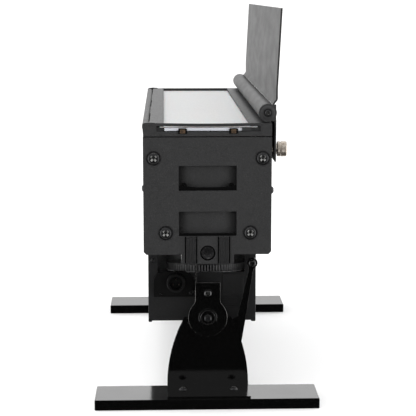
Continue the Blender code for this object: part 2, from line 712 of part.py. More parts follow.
def hinge_leaf():
    """The head's half of the long hinge: a strip down the side of the shell, with its barrels."""
    x = (HEAD_LEFT + 0.0002, HEAD_LEFT + SHELL_INSET - GAP)
    half = LID_INNER - 0.0008
    leaf_bottom = 0.2900
    leaf_top = HINGE_Z - HINGE_R - OVER
    shapes = [block(x, (-half, half), (leaf_bottom, leaf_top))]
    cuts = []
    for y in knuckles(1):
        shapes.append(rod(HINGE_R, "y", HINGE, *y, 16))
        shapes.append(block(x, y, (leaf_top - 0.0005, HINGE_Z)))
        cuts.append(rod(HINGE_PIN_R + GAP, "y", HINGE, y[0] - OVER, y[1] + OVER, 12))
    piece("hinge_leaf", TEXTURED_BLACK, shapes, cuts, axis=TILT)
    pin_half = LID_INNER - 0.0012
    piece("hinge_pin", PLAIN_STEEL, [rod(HINGE_PIN_R, "y", HINGE, -pin_half, pin_half, 12)], axis=LID)


def sheets():
    """The clear lens plate, the diffuser sheet over it, and the two clips on the near wall."""
    y = (0.0018 - HEAD_HALF_LENGTH, LID_INNER - 0.0005)
    plate_half = PLATE_GROOVE - 0.0004
    sheet = (0.0025 - SHEET_GROOVE, SHEET_GROOVE - 0.0005)
    piece("lens_plate", CLEAR_PLASTIC, [block((-plate_half, plate_half), y, PLATE_Z)], axis=LID)
    piece("diffuser_sheet", OPAL, [block(sheet, y, SHEET_Z)], axis=DIFFUSER)
    clip_y = span(NEAR, HEAD_HALF_LENGTH + GAP, HEAD_HALF_LENGTH + 0.0018)
    clip_half, clip_z = 0.0048, (0.3138, 0.3196)
    for side, centre in (("left", -0.0272), ("right", 0.0279)):
        clip = block((centre - clip_half, centre + clip_half), clip_y, clip_z)
        piece(f"{side}_sheet_clip", COPPER, [clip], axis=LID)


# ---------------------------------------------------------------- glare shield

def shield_strip():
    """The strip that carries the glare shield: a plate down the lid's side with an ear at each end."""
    ear_out, ear_low = STRIP_X[1] - 0.0002, STRIP_Z[1] - 0.0015
    rod_screw_r, boss_r = 0.0022, 0.0050
    shapes = [block(STRIP_X, (-EAR_Y[1], EAR_Y[1]), STRIP_Z)]
    cuts = []
    for end in (NEAR, FAR):
        ear_y = span(end, *EAR_Y)
        shapes.append(rod(TUBE_R, "y", TUBE_CENTRE, *ear_y, 28))
        shapes.append(block((TUBE_X, ear_out), ear_y, (ear_low, EAR_TOP)))
        through = span(end, EAR_Y[0] - OVER, EAR_Y[1] + OVER)
        cuts.append(rod(rod_screw_r, "y", TUBE_CENTRE, *through, 16))
        thumb = (end * THUMB_Y, THUMB_Z)
        cuts.append(rod(THUMB_R + HOLE_PLAY, "x", thumb, STRIP_X[0] - OVER, STRIP_X[1] + OVER, 16))
    for y in BOSS_Y:
        shapes.append(rod(boss_r, "x", (y, BOSS_Z), HEAD_RIGHT + GAP, STRIP_X[0] + 0.0005, 12))
    piece("shield_strip", TEXTURED_BLACK, shapes, cuts, axis=LID)


def shield_tube():
    """The rolled tube of the glare shield and the fixed rod that it turns on."""
    rod_half = TUBE_HALF - GAP
    piece("hinge_rod", PLAIN_STEEL, [rod(ROD_R, "y", TUBE_CENTRE, -rod_half, rod_half, 16)], axis=LID)
    half = TUBE_HALF - 0.0005
    piece("shield_tube", TEXTURED_BLACK,
          [tube(TUBE_BORE, TUBE_R, "y", TUBE_CENTRE, -half, half, 32)], axis=SHIELD)


def shield_panel():
    """A folded sheet: a leaning panel, a short upright lower edge and a lip turned in to the tube."""
    lean = math.atan2(PANEL_TOP_OUT - PANEL_OUT, PANEL_TOP - PANEL_BEND)
    inner = PANEL_OUT - PANEL_T
    top_in = PANEL_TOP_OUT - PANEL_T * math.cos(lean)
    outline = ((inner, PANEL_LOW + 0.0008), (inner, PANEL_BEND), (top_in, PANEL_TOP),
               (PANEL_TOP_OUT, PANEL_TOP), (PANEL_OUT, PANEL_BEND), (PANEL_OUT, PANEL_LOW + 0.0028),
               (PANEL_OUT - 0.0009, PANEL_LOW))
    panel = prism(outline, "y", -HEAD_HALF_LENGTH, HEAD_HALF_LENGTH)
    angle = math.radians(58)
    reach = TUBE_R + GAP
    touch = (TUBE_X + reach * math.cos(angle), TUBE_Z + reach * math.sin(angle))
    web = ((inner, PANEL_LOW + 0.0018), touch, (touch[0] + 0.0014, touch[1] - 0.0007),
           (inner + 0.0016, PANEL_LOW + 0.0004))
    half = TUBE_HALF - 0.0010
    piece("glare_shield", TEXTURED_BLACK, [panel, prism(web, "y", -half, half)], axis=SHIELD)


def thumbscrew(end):
    """A ribbed knob on a collar, whose tip stops short of the head's side."""
    axis = joint_axis(f"{side_name(end)}_thumb_axis", (STRIP_X[1], end * THUMB_Y, THUMB_Z), LID)
    centre = (end * THUMB_Y, THUMB_Z)
    collar_r, collar_t = 0.0055, 0.0026
    knob_r, knob_t, rib, ribs = 0.0085, 0.0104, 0.0005, 24
    collar = STRIP_X[1] + GAP
    knob = collar + collar_t
    tip = HEAD_RIGHT - SHELL_INSET + 0.0005
    spindle = lathe(((0, tip), (THUMB_R, tip), (THUMB_R, collar), (collar_r, collar),
                     (collar_r, knob + 0.0005), (0, knob + 0.0005)), "x", centre, 20)
    head = prism(ribbed_disc(centre, knob_r, rib, ribs), "x", knob, knob + knob_t)
    piece(f"{side_name(end)}_thumbscrew", PLAIN_STEEL, [head, spindle], axis=axis)


# ---------------------------------------------------------------- driver box

def box_shell():
    """The box's floor and two cheeks, which turn in at the top and fasten under the head."""
    top = SHELL_BOTTOM - GAP
    w = BOX_WALL
    lip = 0.010
    outline = [
        (BOX_LEFT, BOX_BOTTOM), (BOX_RIGHT, BOX_BOTTOM), (BOX_RIGHT, top), (BOX_RIGHT - lip, top),
        (BOX_RIGHT - lip, top - w), (BOX_RIGHT - w, top - w), (BOX_RIGHT - w, BOX_BOTTOM + w),
        (BOX_LEFT + w, BOX_BOTTOM + w), (BOX_LEFT + w, top - w), (BOX_LEFT + lip, top - w),
        (BOX_LEFT + lip, top), (BOX_LEFT, top)]
    half = BOX_HALF - BOX_WALL - GAP
    piece("driver_box", TEXTURED_BLACK, [prism(outline, "y", -half, half)], axis=TILT)
    inside = (BOX_LEFT + w + GAP, BOX_RIGHT - w - GAP)
    piece("driver_cover", TEXTURED_BLACK, [block(inside, (-half, half), COVER_Z)], axis=TILT)


def box_end(end):
    """An end wall, low in the middle, with an ear up each side for the cheek screws."""
    outline = ((BOX_LEFT, BOX_BOTTOM), (BOX_RIGHT, BOX_BOTTOM), (BOX_RIGHT, BOX_EAR_TOP),
               (NOTCH_RIGHT, BOX_EAR_TOP), (NOTCH_RIGHT, BOX_FRONT_TOP), (NOTCH_LEFT, BOX_FRONT_TOP),
               (NOTCH_LEFT, BOX_EAR_TOP), (BOX_LEFT, BOX_EAR_TOP))
    y = span(end, BOX_HALF - BOX_WALL, BOX_HALF)
    through = span(end, BOX_HALF - BOX_WALL - OVER, BOX_HALF + OVER)
    cuts = []
    if end == NEAR:
        cuts.append(rod(STAY_PIN_R + HOLE_PLAY, "y", STAY_TOP, *through, 16))
    piece(f"{side_name(end)}_box_end", TEXTURED_BLACK, [prism(outline, "y", *y)], cuts, axis=TILT)


def driver_board():
    """The driver's board on four posts, with two coils, a heat sink and two rows of capacitors."""
    floor = BOX_BOTTOM + BOX_WALL
    low = floor + 0.006
    high = low + 0.0016
    seat = high - 0.0005
    shapes = [block((-0.058, 0.050), (-0.160, 0.160), (low, high))]
    for x in (-0.050, 0.042):
        for y in (-0.150, 0.150):
            shapes.append(rod(0.003, "z", (x, y), floor + GAP, low + 0.0005, 10))
    blocks = (
        ((-0.050, -0.015), (0.045, 0.085), 0.026),      # main transformer
        ((0.005, 0.040), (-0.060, -0.020), 0.022),      # filter coil
        ((-0.045, -0.041), (-0.120, -0.030), 0.028),    # upright heat sink
    )
    for x, y, height in blocks:
        shapes.append(block(x, y, (seat, seat + height)))
    capacitors = (
        (0.020, (0.040, 0.065, 0.090), 0.0090, 0.030),
        (-0.020, (-0.110, -0.090, -0.070), 0.0050, 0.018),
    )
    for x, row, radius, height in capacitors:
        for y in row:
            shapes.append(rod(radius, "z", (x, y), seat, seat + height, 12))
    piece("driver_board", BOARD, shapes, axis=TILT)


def cooling_disc():
    """An oval cooler with fine upright ribs round its rim, on a short round stem."""
    across, along = COOLER_HALF
    rib, ribs, stem_r = 0.0018, 84, 0.016
    outline = [(PIVOT_X + x, COOLER_Y + y * along / across) for x, y in ribbed_disc((0, 0), across, rib, ribs)]
    stem = rod(stem_r, "z", (PIVOT_X, COOLER_Y), COVER_Z[1] + GAP, COOLER_Z[1] - rib, 24)
    piece("cooling_disc", SATIN_BLACK, [prism(outline, "z", *COOLER_Z), stem], axis=TILT)


def power_inlet():
    """A panel inlet: a screwed base plate, a wide round-ended collar and a round socket."""
    face = -BOX_HALF - GAP
    base_t, collar_t = 0.0022, 0.0060
    base = block((-0.0600, -0.0100), (face - base_t, face), (0.1155, 0.1300))
    radius, collar_z = 0.0134, 0.1325
    left, right = radius - 0.0605, -0.0132 - radius
    stadium = arc((right, collar_z), radius, -90, 90, 10) + arc((left, collar_z), radius, 90, 270, 10)
    collar = prism(stadium, "y", face - collar_t, face)
    piece("inlet_flange", PLASTIC, [base, collar], axis=TILT)
    socket_r, mouth_r, length, floor_t = 0.0105, 0.0078, 0.0110, 0.0030
    back = face - collar_t - GAP
    front = back - length
    floor = back - floor_t
    profile = ((0, back), (socket_r, back), (socket_r, front), (mouth_r, front), (mouth_r, floor), (0, floor))
    piece("inlet_socket", PLASTIC, [lathe(profile, "y", SOCKET, 24)], axis=TILT)


def link_cable():
    """The short fixed lead between the box and the head, with a gland moulded on each end."""
    centre = (-0.043, 0.030)
    lead_r, gland_r, gland_h, shoulder = 0.0035, 0.0075, 0.0070, 0.0015
    low = COVER_Z[1] + GAP
    high = SHELL_BOTTOM - GAP
    neck_low = low + gland_h + shoulder
    neck_high = high - gland_h - shoulder
    profile = ((0, low), (gland_r, low), (gland_r, low + gland_h), (lead_r, neck_low),
               (lead_r, neck_high), (gland_r, high - gland_h), (gland_r, high), (0, high))
    piece("link_cable", PLASTIC, [lathe(profile, "z", centre, 14)], axis=TILT)


def build():
    for end in (NEAR, FAR):
        foot(end)
        upright(end)
        pivot_plate(end)
        hanger(end)
        end_plate(end)
        vent_baffle(end)
        vent_clip(end)
        thumbscrew(end)
        box_end(end)
        pivot_hardware(end)
        end_screws(end)
    tilt_stay()
    stay_hardware()
    housing_shell()
    mounting_rail()
    heat_sink()
    led_board_and_lenses()
    reflector()
    lid_frame()
    hinge_leaf()
    sheets()
    shield_strip()
    shield_tube()
    shield_panel()
    box_shell()
    driver_board()
    cooling_disc()
    power_inlet()
    link_cable()


build()
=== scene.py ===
"""Looks for the LED batten light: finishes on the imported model, fine detail pieces, studio and camera.

Everything is in metres in the model's own frame: X across the head, Y along it, +Z up, near end at -Y.
"""
import math

import bmesh
import bpy
from mathutils import Matrix, Vector


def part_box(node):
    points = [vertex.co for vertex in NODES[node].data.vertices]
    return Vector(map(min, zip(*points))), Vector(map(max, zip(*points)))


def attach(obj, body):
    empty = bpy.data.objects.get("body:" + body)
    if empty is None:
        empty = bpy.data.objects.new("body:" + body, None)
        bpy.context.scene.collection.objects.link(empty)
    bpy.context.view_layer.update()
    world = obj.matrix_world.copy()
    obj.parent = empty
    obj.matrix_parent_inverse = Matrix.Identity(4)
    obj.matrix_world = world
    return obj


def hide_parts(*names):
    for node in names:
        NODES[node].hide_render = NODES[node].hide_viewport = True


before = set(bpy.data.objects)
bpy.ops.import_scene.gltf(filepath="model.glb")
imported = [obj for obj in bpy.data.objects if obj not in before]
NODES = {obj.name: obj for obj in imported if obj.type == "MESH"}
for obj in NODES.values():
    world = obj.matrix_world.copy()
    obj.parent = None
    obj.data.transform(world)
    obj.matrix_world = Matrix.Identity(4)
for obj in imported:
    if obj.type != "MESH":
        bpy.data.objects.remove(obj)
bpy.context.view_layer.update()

SCENE = bpy.context.scene
ENDS = (("near", -1), ("far", 1))

# The sharpest turns, in degrees, that still count as smooth.
PIECE_CREASE = 35
NODE_CREASE = 34
BEVEL_CREASE = 32

# Camera: placed to look at the near end from a little above and to the left.
CAMERA_PLACE = (-0.0473, -1.6610, 0.4642)
CAMERA_TURN = (80.588, 0.0, -1.948)
LENS = 112.5
SENSOR = 36.0


# ---------------------------------------------------------------- materials

class Look:
    """A Principled material, with short calls that add procedural detail to it."""

    def __init__(self, name, colour, roughness, metallic=0.0, **sockets):
        self.material = bpy.data.materials.new(name)
        self.material.use_nodes = True
        self.tree = self.material.node_tree
        self.shader = self.tree.nodes["Principled BSDF"]
        self.place = self.add("ShaderNodeTexCoord").outputs["Object"]
        self.height = None
        self.set("Base Color", (*colour, 1.0))
        self.set("Roughness", roughness)
        self.set("Metallic", metallic)
        for socket, value in sockets.items():
            self.set(socket.replace("_", " "), value)

    def add(self, kind, **sockets):
        """A new node, with some of its inputs set."""
        node = self.tree.nodes.new(kind)
        for socket, value in sockets.items():
            node.inputs[socket.replace("_", " ")].default_value = value
        return node

    def set(self, socket, value):
        self.shader.inputs[socket].default_value = value

    def link(self, source, target):
        self.tree.links.new(source, target)

    def noise(self, scale, detail=2.0, stretch=(1, 1, 1)):
        """A noise value over the surface; a stretch above 1 makes it finer along that axis."""
        mapping = self.add("ShaderNodeMapping", Scale=stretch)
        self.link(self.place, mapping.inputs["Vector"])
        texture = self.add("ShaderNodeTexNoise", Scale=scale, Detail=detail)
        self.link(mapping.outputs["Vector"], texture.inputs["Vector"])
        return texture.outputs["Fac"]

    def wave(self, axis, pitch, distortion=0.0):
        """Bands across an axis, one for each pitch."""
        texture = self.add("ShaderNodeTexWave", Scale=math.pi / 10 / pitch, Distortion=distortion)
        texture.bands_direction = axis
        self.link(self.place, texture.inputs["Vector"])
        return texture.outputs["Fac"]

    def steps(self, value, low, high, out_low, out_high):
        """Maps a value's range to another range."""
        node = self.add("ShaderNodeMapRange", From_Min=low, From_Max=high, To_Min=out_low, To_Max=out_high)
        self.link(value, node.inputs["Value"])
        return node.outputs["Result"]

    def mix(self, value, first, second):
        """A colour between two, each of them a constant or another node's output."""
        node = self.add("ShaderNodeMix")
        node.data_type = "RGBA"
        self.link(value, node.inputs["Factor"])
        for socket, colour in (("A", first), ("B", second)):
            target = [s for s in node.inputs if s.name == socket and s.type == "RGBA"][0]
            if isinstance(colour, bpy.types.NodeSocket):
                self.link(colour, target)
            else:
                target.default_value = (*colour, 1.0)
        return [s for s in node.outputs if s.type == "RGBA"][0]

    def colour(self, value):
        self.link(value, self.shader.inputs["Base Color"])

    def rough(self, value, low, high):
        """Roughness between two values, following a noise."""
        self.link(self.steps(value, 0.3, 0.7, low, high), self.shader.inputs["Roughness"])

    def bump(self, value, depth):
        """One more layer of relief, as deep as the depth in metres."""
        node = self.add("ShaderNodeBump", Distance=depth)
        self.link(value, node.inputs["Height"])
        if self.height is not None:
            self.link(self.height, node.inputs["Normal"])
        self.height = node.outputs["Normal"]
        self.link(self.height, self.shader.inputs["Normal"])

    def dusted(self, base, scale, rarity, most, dust):
        """A colour with specks of dust over it."""
        specks = self.steps(self.noise(scale, 1.0), rarity, rarity + 0.08, 0, most)
        return self.mix(specks, base, dust)

    def grained(self, grain, low, high):
        """Two tones, following a grain."""
        return self.mix(self.steps(grain, 0.38, 0.66, 0, 1), low, high)

    def finish(self, tones, low, high, sheen, smooth, coarse, relief, depth):
        """Two tones over a noise or another value, an uneven sheen and a fine relief."""
        self.colour(self.mix(self.noise(*tones) if isinstance(tones, tuple) else tones, low, high))
        self.rough(self.noise(*sheen), smooth, coarse)
        self.bump(self.noise(*relief), depth)
        return self.material


def powder_coat():
    """Fine textured powder coat: two sizes of grain, a little dust and uneven sheen."""
    look = Look("textured_black_coat", (0.02, 0.02, 0.02), 0.5, Specular_IOR_Level=0.5)
    grain = look.noise(1500, 3.0)
    coarse = look.noise(420, 2.0)
    cloud = look.noise(38, 3.0)
    base = look.grained(grain, (0.0085, 0.0085, 0.0088), (0.021, 0.021, 0.0217))
    dusty = look.dusted(base, 900, 0.70, 0.5, (0.085, 0.084, 0.082))
    look.colour(look.mix(look.steps(cloud, 0.35, 0.70, 0, 0.35), dusty, (0.0110, 0.0110, 0.0113)))
    look.rough(coarse, 0.46, 0.60)
    look.bump(coarse, 0.00009)
    look.bump(grain, 0.00007)
    return look.material


def gloss_black():
    """Smooth gloss powder coat with a faint orange peel, uneven sheen and dust."""
    look = Look("gloss_black_coat", (0.002, 0.002, 0.002), 0.10, Specular_IOR_Level=0.5)
    look.colour(look.dusted((0.0013, 0.0013, 0.0013), 1300, 0.72, 0.55, (0.040, 0.039, 0.038)))
    look.rough(look.noise(24, 4.0), 0.07, 0.15)
    look.bump(look.noise(330, 1.5), 0.00001)
    return look.material


def box_coat():
    """The head's coat, made darker and smoother."""
    look = Look("dark_black_coat", (0.01, 0.01, 0.01), 0.5, Specular_IOR_Level=0.28)
    grain = look.noise(1300, 3.0)
    coarse = look.noise(380, 2.0)
    base = look.grained(grain, (0.0050, 0.0050, 0.0053), (0.0125, 0.0125, 0.013))
    look.colour(look.dusted(base, 900, 0.71, 0.45, (0.055, 0.055, 0.054)))
    look.rough(coarse, 0.42, 0.58)
    look.bump(coarse, 0.00006)
    look.bump(grain, 0.00005)
    return look.material


def shield_coat():
    """Smoother coat on the folded shield and its tube, glossier than the head's."""
    look = Look("shield_black_coat", (0.02, 0.02, 0.02), 0.42, Specular_IOR_Level=0.44)
    grain = look.noise(1500, 3.0)
    base = look.grained(grain, (0.0080, 0.0078, 0.0077), (0.0170, 0.0167, 0.0165))
    look.colour(look.dusted(base, 800, 0.70, 0.4, (0.09, 0.088, 0.085)))
    look.rough(look.noise(55, 4.0, (1, 0.35, 1)), 0.46, 0.56)
    look.bump(grain, 0.00003)
    return look.material


def jet_black():
    """Dull black spring steel and seals, nearly without sheen; also the painted shade in gaps: the strips
    beside the ribs, the rings round the rail plugs and the cooler's core.
    """
    look = Look("jet_black_finish", (0.002, 0.002, 0.002), 0.6, Specular_IOR_Level=0.03)
    return look.finish((300, 3.0), (0.0008, 0.0008, 0.0008), (0.0030, 0.0030, 0.0031),
                       (500, 3.0), 0.5, 0.7, (1400, 2.0), 0.00002)


def anodised(name, low, high):
    """Anodised alloy, uneven in tone."""
    look = Look(name, high, 0.45, 0.15)
    return look.finish((220, 3.0), low, high,
                       (400, 3.0), 0.36, 0.52, (900, 2.0), 0.00002)


def phosphor():
    """The yellow coat over a white LED's die."""
    look = Look("yellow_phosphor", (0.75, 0.55, 0.10), 0.35, Subsurface_Weight=0.2, Subsurface_Scale=0.001)
    return look.finish((1500, 2.0), (0.72, 0.50, 0.08), (0.85, 0.66, 0.16),
                       (900, 2.0), 0.28, 0.42, (2500, 2.0), 0.00001)


def edge_highlight_look():
    """A brighter, mirror-like coat on the rounded edges of the gloss parts: a painted edge highlight,
    brighter than the gloss coat itself.
    """
    look = Look("painted_edge_highlight", (0.10, 0.10, 0.10), 0.22, 0.9)
    # Patches where the painted edge highlight is brighter or duller.
    thin = look.steps(look.noise(140, 4.0), 0.35, 0.70, 0, 1)
    return look.finish(thin, (0.05, 0.05, 0.05), (0.20, 0.197, 0.19),
                       (300, 3.0), 0.18, 0.32, (900, 2.0), 0.00001)


def satin_black():
    """Semi-matt black paint on thin sheet."""
    look = Look("satin_black_paint", (0.014, 0.014, 0.015), 0.45)
    return look.finish((60, 4.0), (0.010, 0.010, 0.0105), (0.020, 0.020, 0.021),
                       (240, 3.0), 0.38, 0.52, (1100, 2.0), 0.00002)


def moulded_black():
    """Injection-moulded plastic with a fine spark-eroded grain."""
    look = Look("moulded_black_plastic", (0.012, 0.012, 0.012), 0.42)
    return look.finish((90, 3.0), (0.009, 0.009, 0.009), (0.016, 0.016, 0.016),
                       (700, 2.0), 0.34, 0.50, (1900, 2.0), 0.00002)


def dull_plastic():
    """Plain black plastic of the panel inlet, darker and less shiny than the rest."""
    look = Look("dull_black_plastic", (0.006, 0.006, 0.006), 0.5, Specular_IOR_Level=0.06)
    return look.finish((90, 3.0), (0.0025, 0.0025, 0.0025), (0.0060, 0.0060, 0.0060),
                       (700, 2.0), 0.42, 0.58, (1900, 2.0), 0.00002)


def black_oxide():
    """Blackened steel, rubbed brighter in places."""
    look = Look("black_oxide_steel", (0.02, 0.02, 0.02), 0.34, 0.75)
    rub = look.steps(look.noise(520, 4.0), 0.55, 0.78, 0, 0.7)
    return look.finish(rub, (0.018, 0.018, 0.019), (0.10, 0.098, 0.095),
                       (800, 3.0), 0.26, 0.42, (1500, 2.0), 0.00002)


def bare_steel(name, low, high, smooth, coarse):
    """Bare or plated metal with turning marks and small stains."""
    look = Look(name, low, 0.3, 1.0)
    stain = look.steps(look.noise(260, 4.0), 0.35, 0.75, 0, 1)
    return look.finish(stain, high, low, (900, 3.0), smooth, coarse, (700, 2.0, (1, 6, 6)), 0.00001)


def aluminium():
    """Mill-finish extrusion with faint lines along its length."""
    look = Look("mill_aluminium", (0.58, 0.58, 0.59), 0.38, 1.0)
    lines = look.noise(900, 2.0, (1, 0.02, 1))
    look.colour(look.mix(lines, (0.50, 0.50, 0.51), (0.66, 0.66, 0.67)))
    look.rough(look.noise(60, 4.0), 0.30, 0.46)
    look.bump(lines, 0.00002)
    return look.material


def dull_copper():
    """Brown plated spring steel."""
    look = Look("dull_copper_plate", (0.10, 0.065, 0.04), 0.40, 0.8)
    stain = look.steps(look.noise(420, 4.0), 0.35, 0.70, 0, 1)
    return look.finish(stain, (0.05, 0.036, 0.026), (0.20, 0.13, 0.08),
                       (900, 2.0), 0.30, 0.50, (1600, 2.0), 0.00002)


def opal_sheet():
    """Satin opal diffuser, with faint darker bands of painted shade over the rows of lamps, and a fine
    etched face.
    """
    look = Look("opal_diffuser", (0.72, 0.73, 0.73), 0.42, Subsurface_Weight=0.15, Subsurface_Scale=0.004)
    # Darker bands at the lamps' pitch: painted shade of the lamp rows seen through the sheet.
    lamp_row_shade = look.steps(look.wave("Y", 0.0155, 0.6), 0.86, 1.0, 0, 1)
    soft = look.mix(look.noise(9, 2.0), (0.37, 0.375, 0.375), (0.41, 0.41, 0.408))
    look.colour(look.mix(lamp_row_shade, soft, (0.335, 0.34, 0.34)))
    look.rough(look.noise(500, 3.0), 0.36, 0.50)
    look.bump(look.noise(1400, 2.0), 0.00002)
    return look.material


def white_reflector():
    """White pressed sheet."""
    look = Look("white_reflector_paint", (0.82, 0.82, 0.81), 0.45)
    return look.finish((30, 3.0), (0.78, 0.78, 0.77), (0.86, 0.86, 0.85),
                       (400, 3.0), 0.38, 0.52, (1200, 2.0), 0.00002)


def clear_sheet():
    """Clear acrylic, faintly blue at its sawn edges."""
    look = Look("clear_acrylic", (0.84, 0.86, 0.92), 0.12, Transmission_Weight=0.35, IOR=1.49)
    return look.finish((40, 3.0), (0.80, 0.82, 0.90), (0.88, 0.90, 0.95),
                       (300, 3.0), 0.08, 0.22, (900, 2.0), 0.00001)


def board(name, first, second):
    """Solder mask over copper tracks."""
    look = Look(name, first, 0.40)
    tracks = look.steps(look.wave("X", 0.0030, 3.0), 0.55, 0.62, 0, 1)
    look.colour(look.mix(tracks, first, second))
    look.rough(look.noise(350, 2.0), 0.30, 0.46)
    look.bump(tracks, 0.00003)
    return look.material


TEXTURED = powder_coat()
BOX_COAT = box_coat()
SHIELD = shield_coat()
JET = jet_black()
ALLOY = anodised("dark_anodised_alloy", (0.055, 0.055, 0.057), (0.115, 0.115, 0.115))
# A paler copy of the alloy, for the cooler's lower rim: a painted highlight.
LIT_RIM_ALLOY = anodised("painted_lit_rim_alloy", (0.36, 0.36, 0.365), (0.52, 0.52, 0.52))
PHOSPHOR = phosphor()
# The bevels of the gloss parts take this painted edge highlight.
GLOSS = gloss_black()
EDGE_HIGHLIGHT = edge_highlight_look()
SATIN = satin_black()
MOULDED = moulded_black()
DULL = dull_plastic()
OXIDE = black_oxide()
# Bare steel in the screw recesses: worn by the driver, and made bright so the recess walls show painted
# glints.
WORN_GLINT = bare_steel("worn_glinting_recess_steel", (0.07, 0.07, 0.07), (0.34, 0.34, 0.33), 0.14, 0.28)
# Brighter metal for the pivot bolts' dish wall: a painted highlight.
DISH_HIGHLIGHT_METAL = bare_steel("dish_highlight_steel", (0.07, 0.07, 0.07), (0.22, 0.22, 0.215), 0.20, 0.36)
PLATED = bare_steel("nickel_plated_steel", (0.26, 0.22, 0.185), (0.46, 0.42, 0.37), 0.22, 0.38)
ALUMINIUM = aluminium()
COPPER = dull_copper()
OPAL = opal_sheet()
WHITE = white_reflector()
CLEAR = clear_sheet()
LED_BOARD = board("white_solder_mask", (0.74, 0.75, 0.73), (0.66, 0.68, 0.66))
DRIVER_BOARD = board("green_solder_mask", (0.012, 0.075, 0.030), (0.020, 0.115, 0.045))

SCREW = (OXIDE, WORN_GLINT)       # a head's outside and its recess


# ---------------------------------------------------------------- shape helpers

def across(axis, u, v, t):
    """The point at (u, v) across an axis and t along it."""
    return {"x": (t, u, v), "y": (u, t, v), "z": (u, v, t)}[axis]


def loft(outlines, axis):
    """A closed body through outlines of equal counts, each given with its place along the axis."""
    bm = bmesh.new()
    rings = [[bm.verts.new(across(axis, u, v, t)) for u, v in points] for t, points in outlines]
    count = len(rings[0])
    for a, b in zip(rings, rings[1:]):
        for i in range(count):
            j = (i + 1) % count
            bm.faces.new((a[i], a[j], b[j], b[i]))
    bm.faces.new(rings[0])
    bm.faces.new(rings[-1][::-1])
    bmesh.ops.recalc_face_normals(bm, faces=bm.faces)
    return bm


def prism(points, axis, start, end):
    """A closed body with the same outline all along an axis."""
    return loft(((start, points), (end, points)), axis)


def block(x, y, z):
    """A box between two values on each axis."""
    return prism(((x[0], z[0]), (x[1], z[0]), (x[1], z[1]), (x[0], z[1])), "y", y[0], y[1])


def lathe(profile, axis="z", centre=(0.0, 0.0), segments=32):
    """A turned piece. The profile is (radius, place along the axis) pairs.

    It starts and ends on the axis, or else closes on itself round a bore, its first point given once.
    """
    bm = bmesh.new()
    rings = []
    for radius, t in profile:
        turn = []
        for i in range(1 if radius == 0 else segments):
            angle = 2 * math.pi * i / segments
            u = centre[0] + radius * math.cos(angle)
            v = centre[1] + radius * math.sin(angle)
            turn.append(bm.verts.new(across(axis, u, v, t)))
        rings.append(turn)
    if len(rings[0]) > 1:
        rings.append(rings[0])
    for a, b in zip(rings, rings[1:]):
        for i in range(segments):
            j = (i + 1) % segments
            corners = [a[i % len(a)], a[j % len(a)], b[j % len(b)], b[i % len(b)]]
            bm.faces.new(list(dict.fromkeys(corners)))
    bmesh.ops.recalc_face_normals(bm, faces=bm.faces)
    return bm


def arc(centre, radius, start, end, steps):
    """Points on an arc, angles in degrees."""
    points = []
    for i in range(steps + 1):
        angle = math.radians(start + (end - start) * i / steps)
        points.append((centre[0] + radius * math.cos(angle), centre[1] + radius * math.sin(angle)))
    return points


def mesh_from(name, bm):
    """The bmesh as a mesh; the bmesh itself is used up."""
    mesh = bpy.data.meshes.new(name)
    bm.to_mesh(mesh)
    bm.free()
    return mesh


def joined(bodies):
    """Several separate closed bodies in one mesh."""
    whole = bmesh.new()
    for bm in bodies:
        part = mesh_from("part", bm)
        whole.from_mesh(part)
        bpy.data.meshes.remove(part)
    return whole


def carved(mesh, cutter):
    """The mesh with a closed shape cut out of it. The cut faces take the second material."""
    target = bpy.data.objects.new("target", mesh)
    tool = bpy.data.objects.new("tool", mesh_from("tool", cutter))
    for obj in (target, tool):
        shade(obj.data, SCREW)
        SCENE.collection.objects.link(obj)
    for face in tool.data.polygons:
        face.material_index = 1
    modifier = target.modifiers.new("cut", "BOOLEAN")
    modifier.operation = "DIFFERENCE"
    modifier.object = tool
    modifier.solver = "EXACT"
    cut = target.evaluated_get(bpy.context.evaluated_depsgraph_get())
    result = bpy.data.meshes.new_from_object(cut)
    for obj in (tool, target):
        bpy.data.objects.remove(obj, do_unlink=True)
    return result


def shade(mesh, looks, angle=PIECE_CREASE):
    """Puts materials in the slots, keeping each face's slot, and smooths the faces between sharp edges."""
    for slot, look in enumerate(looks):
        if slot < len(mesh.materials):
            mesh.materials[slot] = look
        else:
            mesh.materials.append(look)
    mesh.shade_smooth()
    mesh.set_sharp_from_angle(angle=math.radians(angle))


def bevel(obj, width, segments=2, edge_slot=-1):
    """A rounded edge wherever faces meet sharply, in one slot's material or, at -1, the faces' own."""
    modifier = obj.modifiers.new("edges", "BEVEL")
    modifier.width = width
    modifier.segments = segments
    modifier.limit_method = "ANGLE"
    modifier.angle_limit = math.radians(BEVEL_CREASE)
    modifier.use_clamp_overlap = True
    modifier.face_strength_mode = "FSTR_ALL"
    modifier.material = edge_slot


def add_piece(name, shape, looks, body, replaces=(), edge=0.0, angle=PIECE_CREASE):
    """A new detail piece, from a bmesh or a mesh already in place, riding on a body."""
    mesh = mesh_from(name, shape) if isinstance(shape, bmesh.types.BMesh) else shape
    shade(mesh, looks if isinstance(looks, tuple) else (looks,), angle)
    obj = bpy.data.objects.new(name, mesh)
    SCENE.collection.objects.link(obj)
    if edge:
        bevel(obj, edge)
    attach(obj, body)
    if replaces:
        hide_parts(*replaces)
    return obj


def geometry_group(name):
    """An empty geometry node group, and the nodes at its two ends."""
    group = bpy.data.node_groups.new(name, "GeometryNodeTree")
    group.interface.new_socket("Geometry", in_out="INPUT", socket_type="NodeSocketGeometry")
    group.interface.new_socket("Geometry", in_out="OUTPUT", socket_type="NodeSocketGeometry")
    return group, group.nodes.new("NodeGroupInput"), group.nodes.new("NodeGroupOutput")


def welded_group():
    """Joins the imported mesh's split corners and drops the normals stored on them."""
    group, start, end = geometry_group("welded")
    weld = group.nodes.new("GeometryNodeMergeByDistance")
    weld.inputs["Distance"].default_value = 0.000005
    drop = group.nodes.new("GeometryNodeRemoveAttribute")
    drop.inputs["Name"].default_value = "custom_normal"
    group.links.new(start.outputs[0], drop.inputs["Geometry"])
    group.links.new(drop.outputs["Geometry"], weld.inputs["Geometry"])
    group.links.new(weld.outputs["Geometry"], end.inputs[0])
    return group


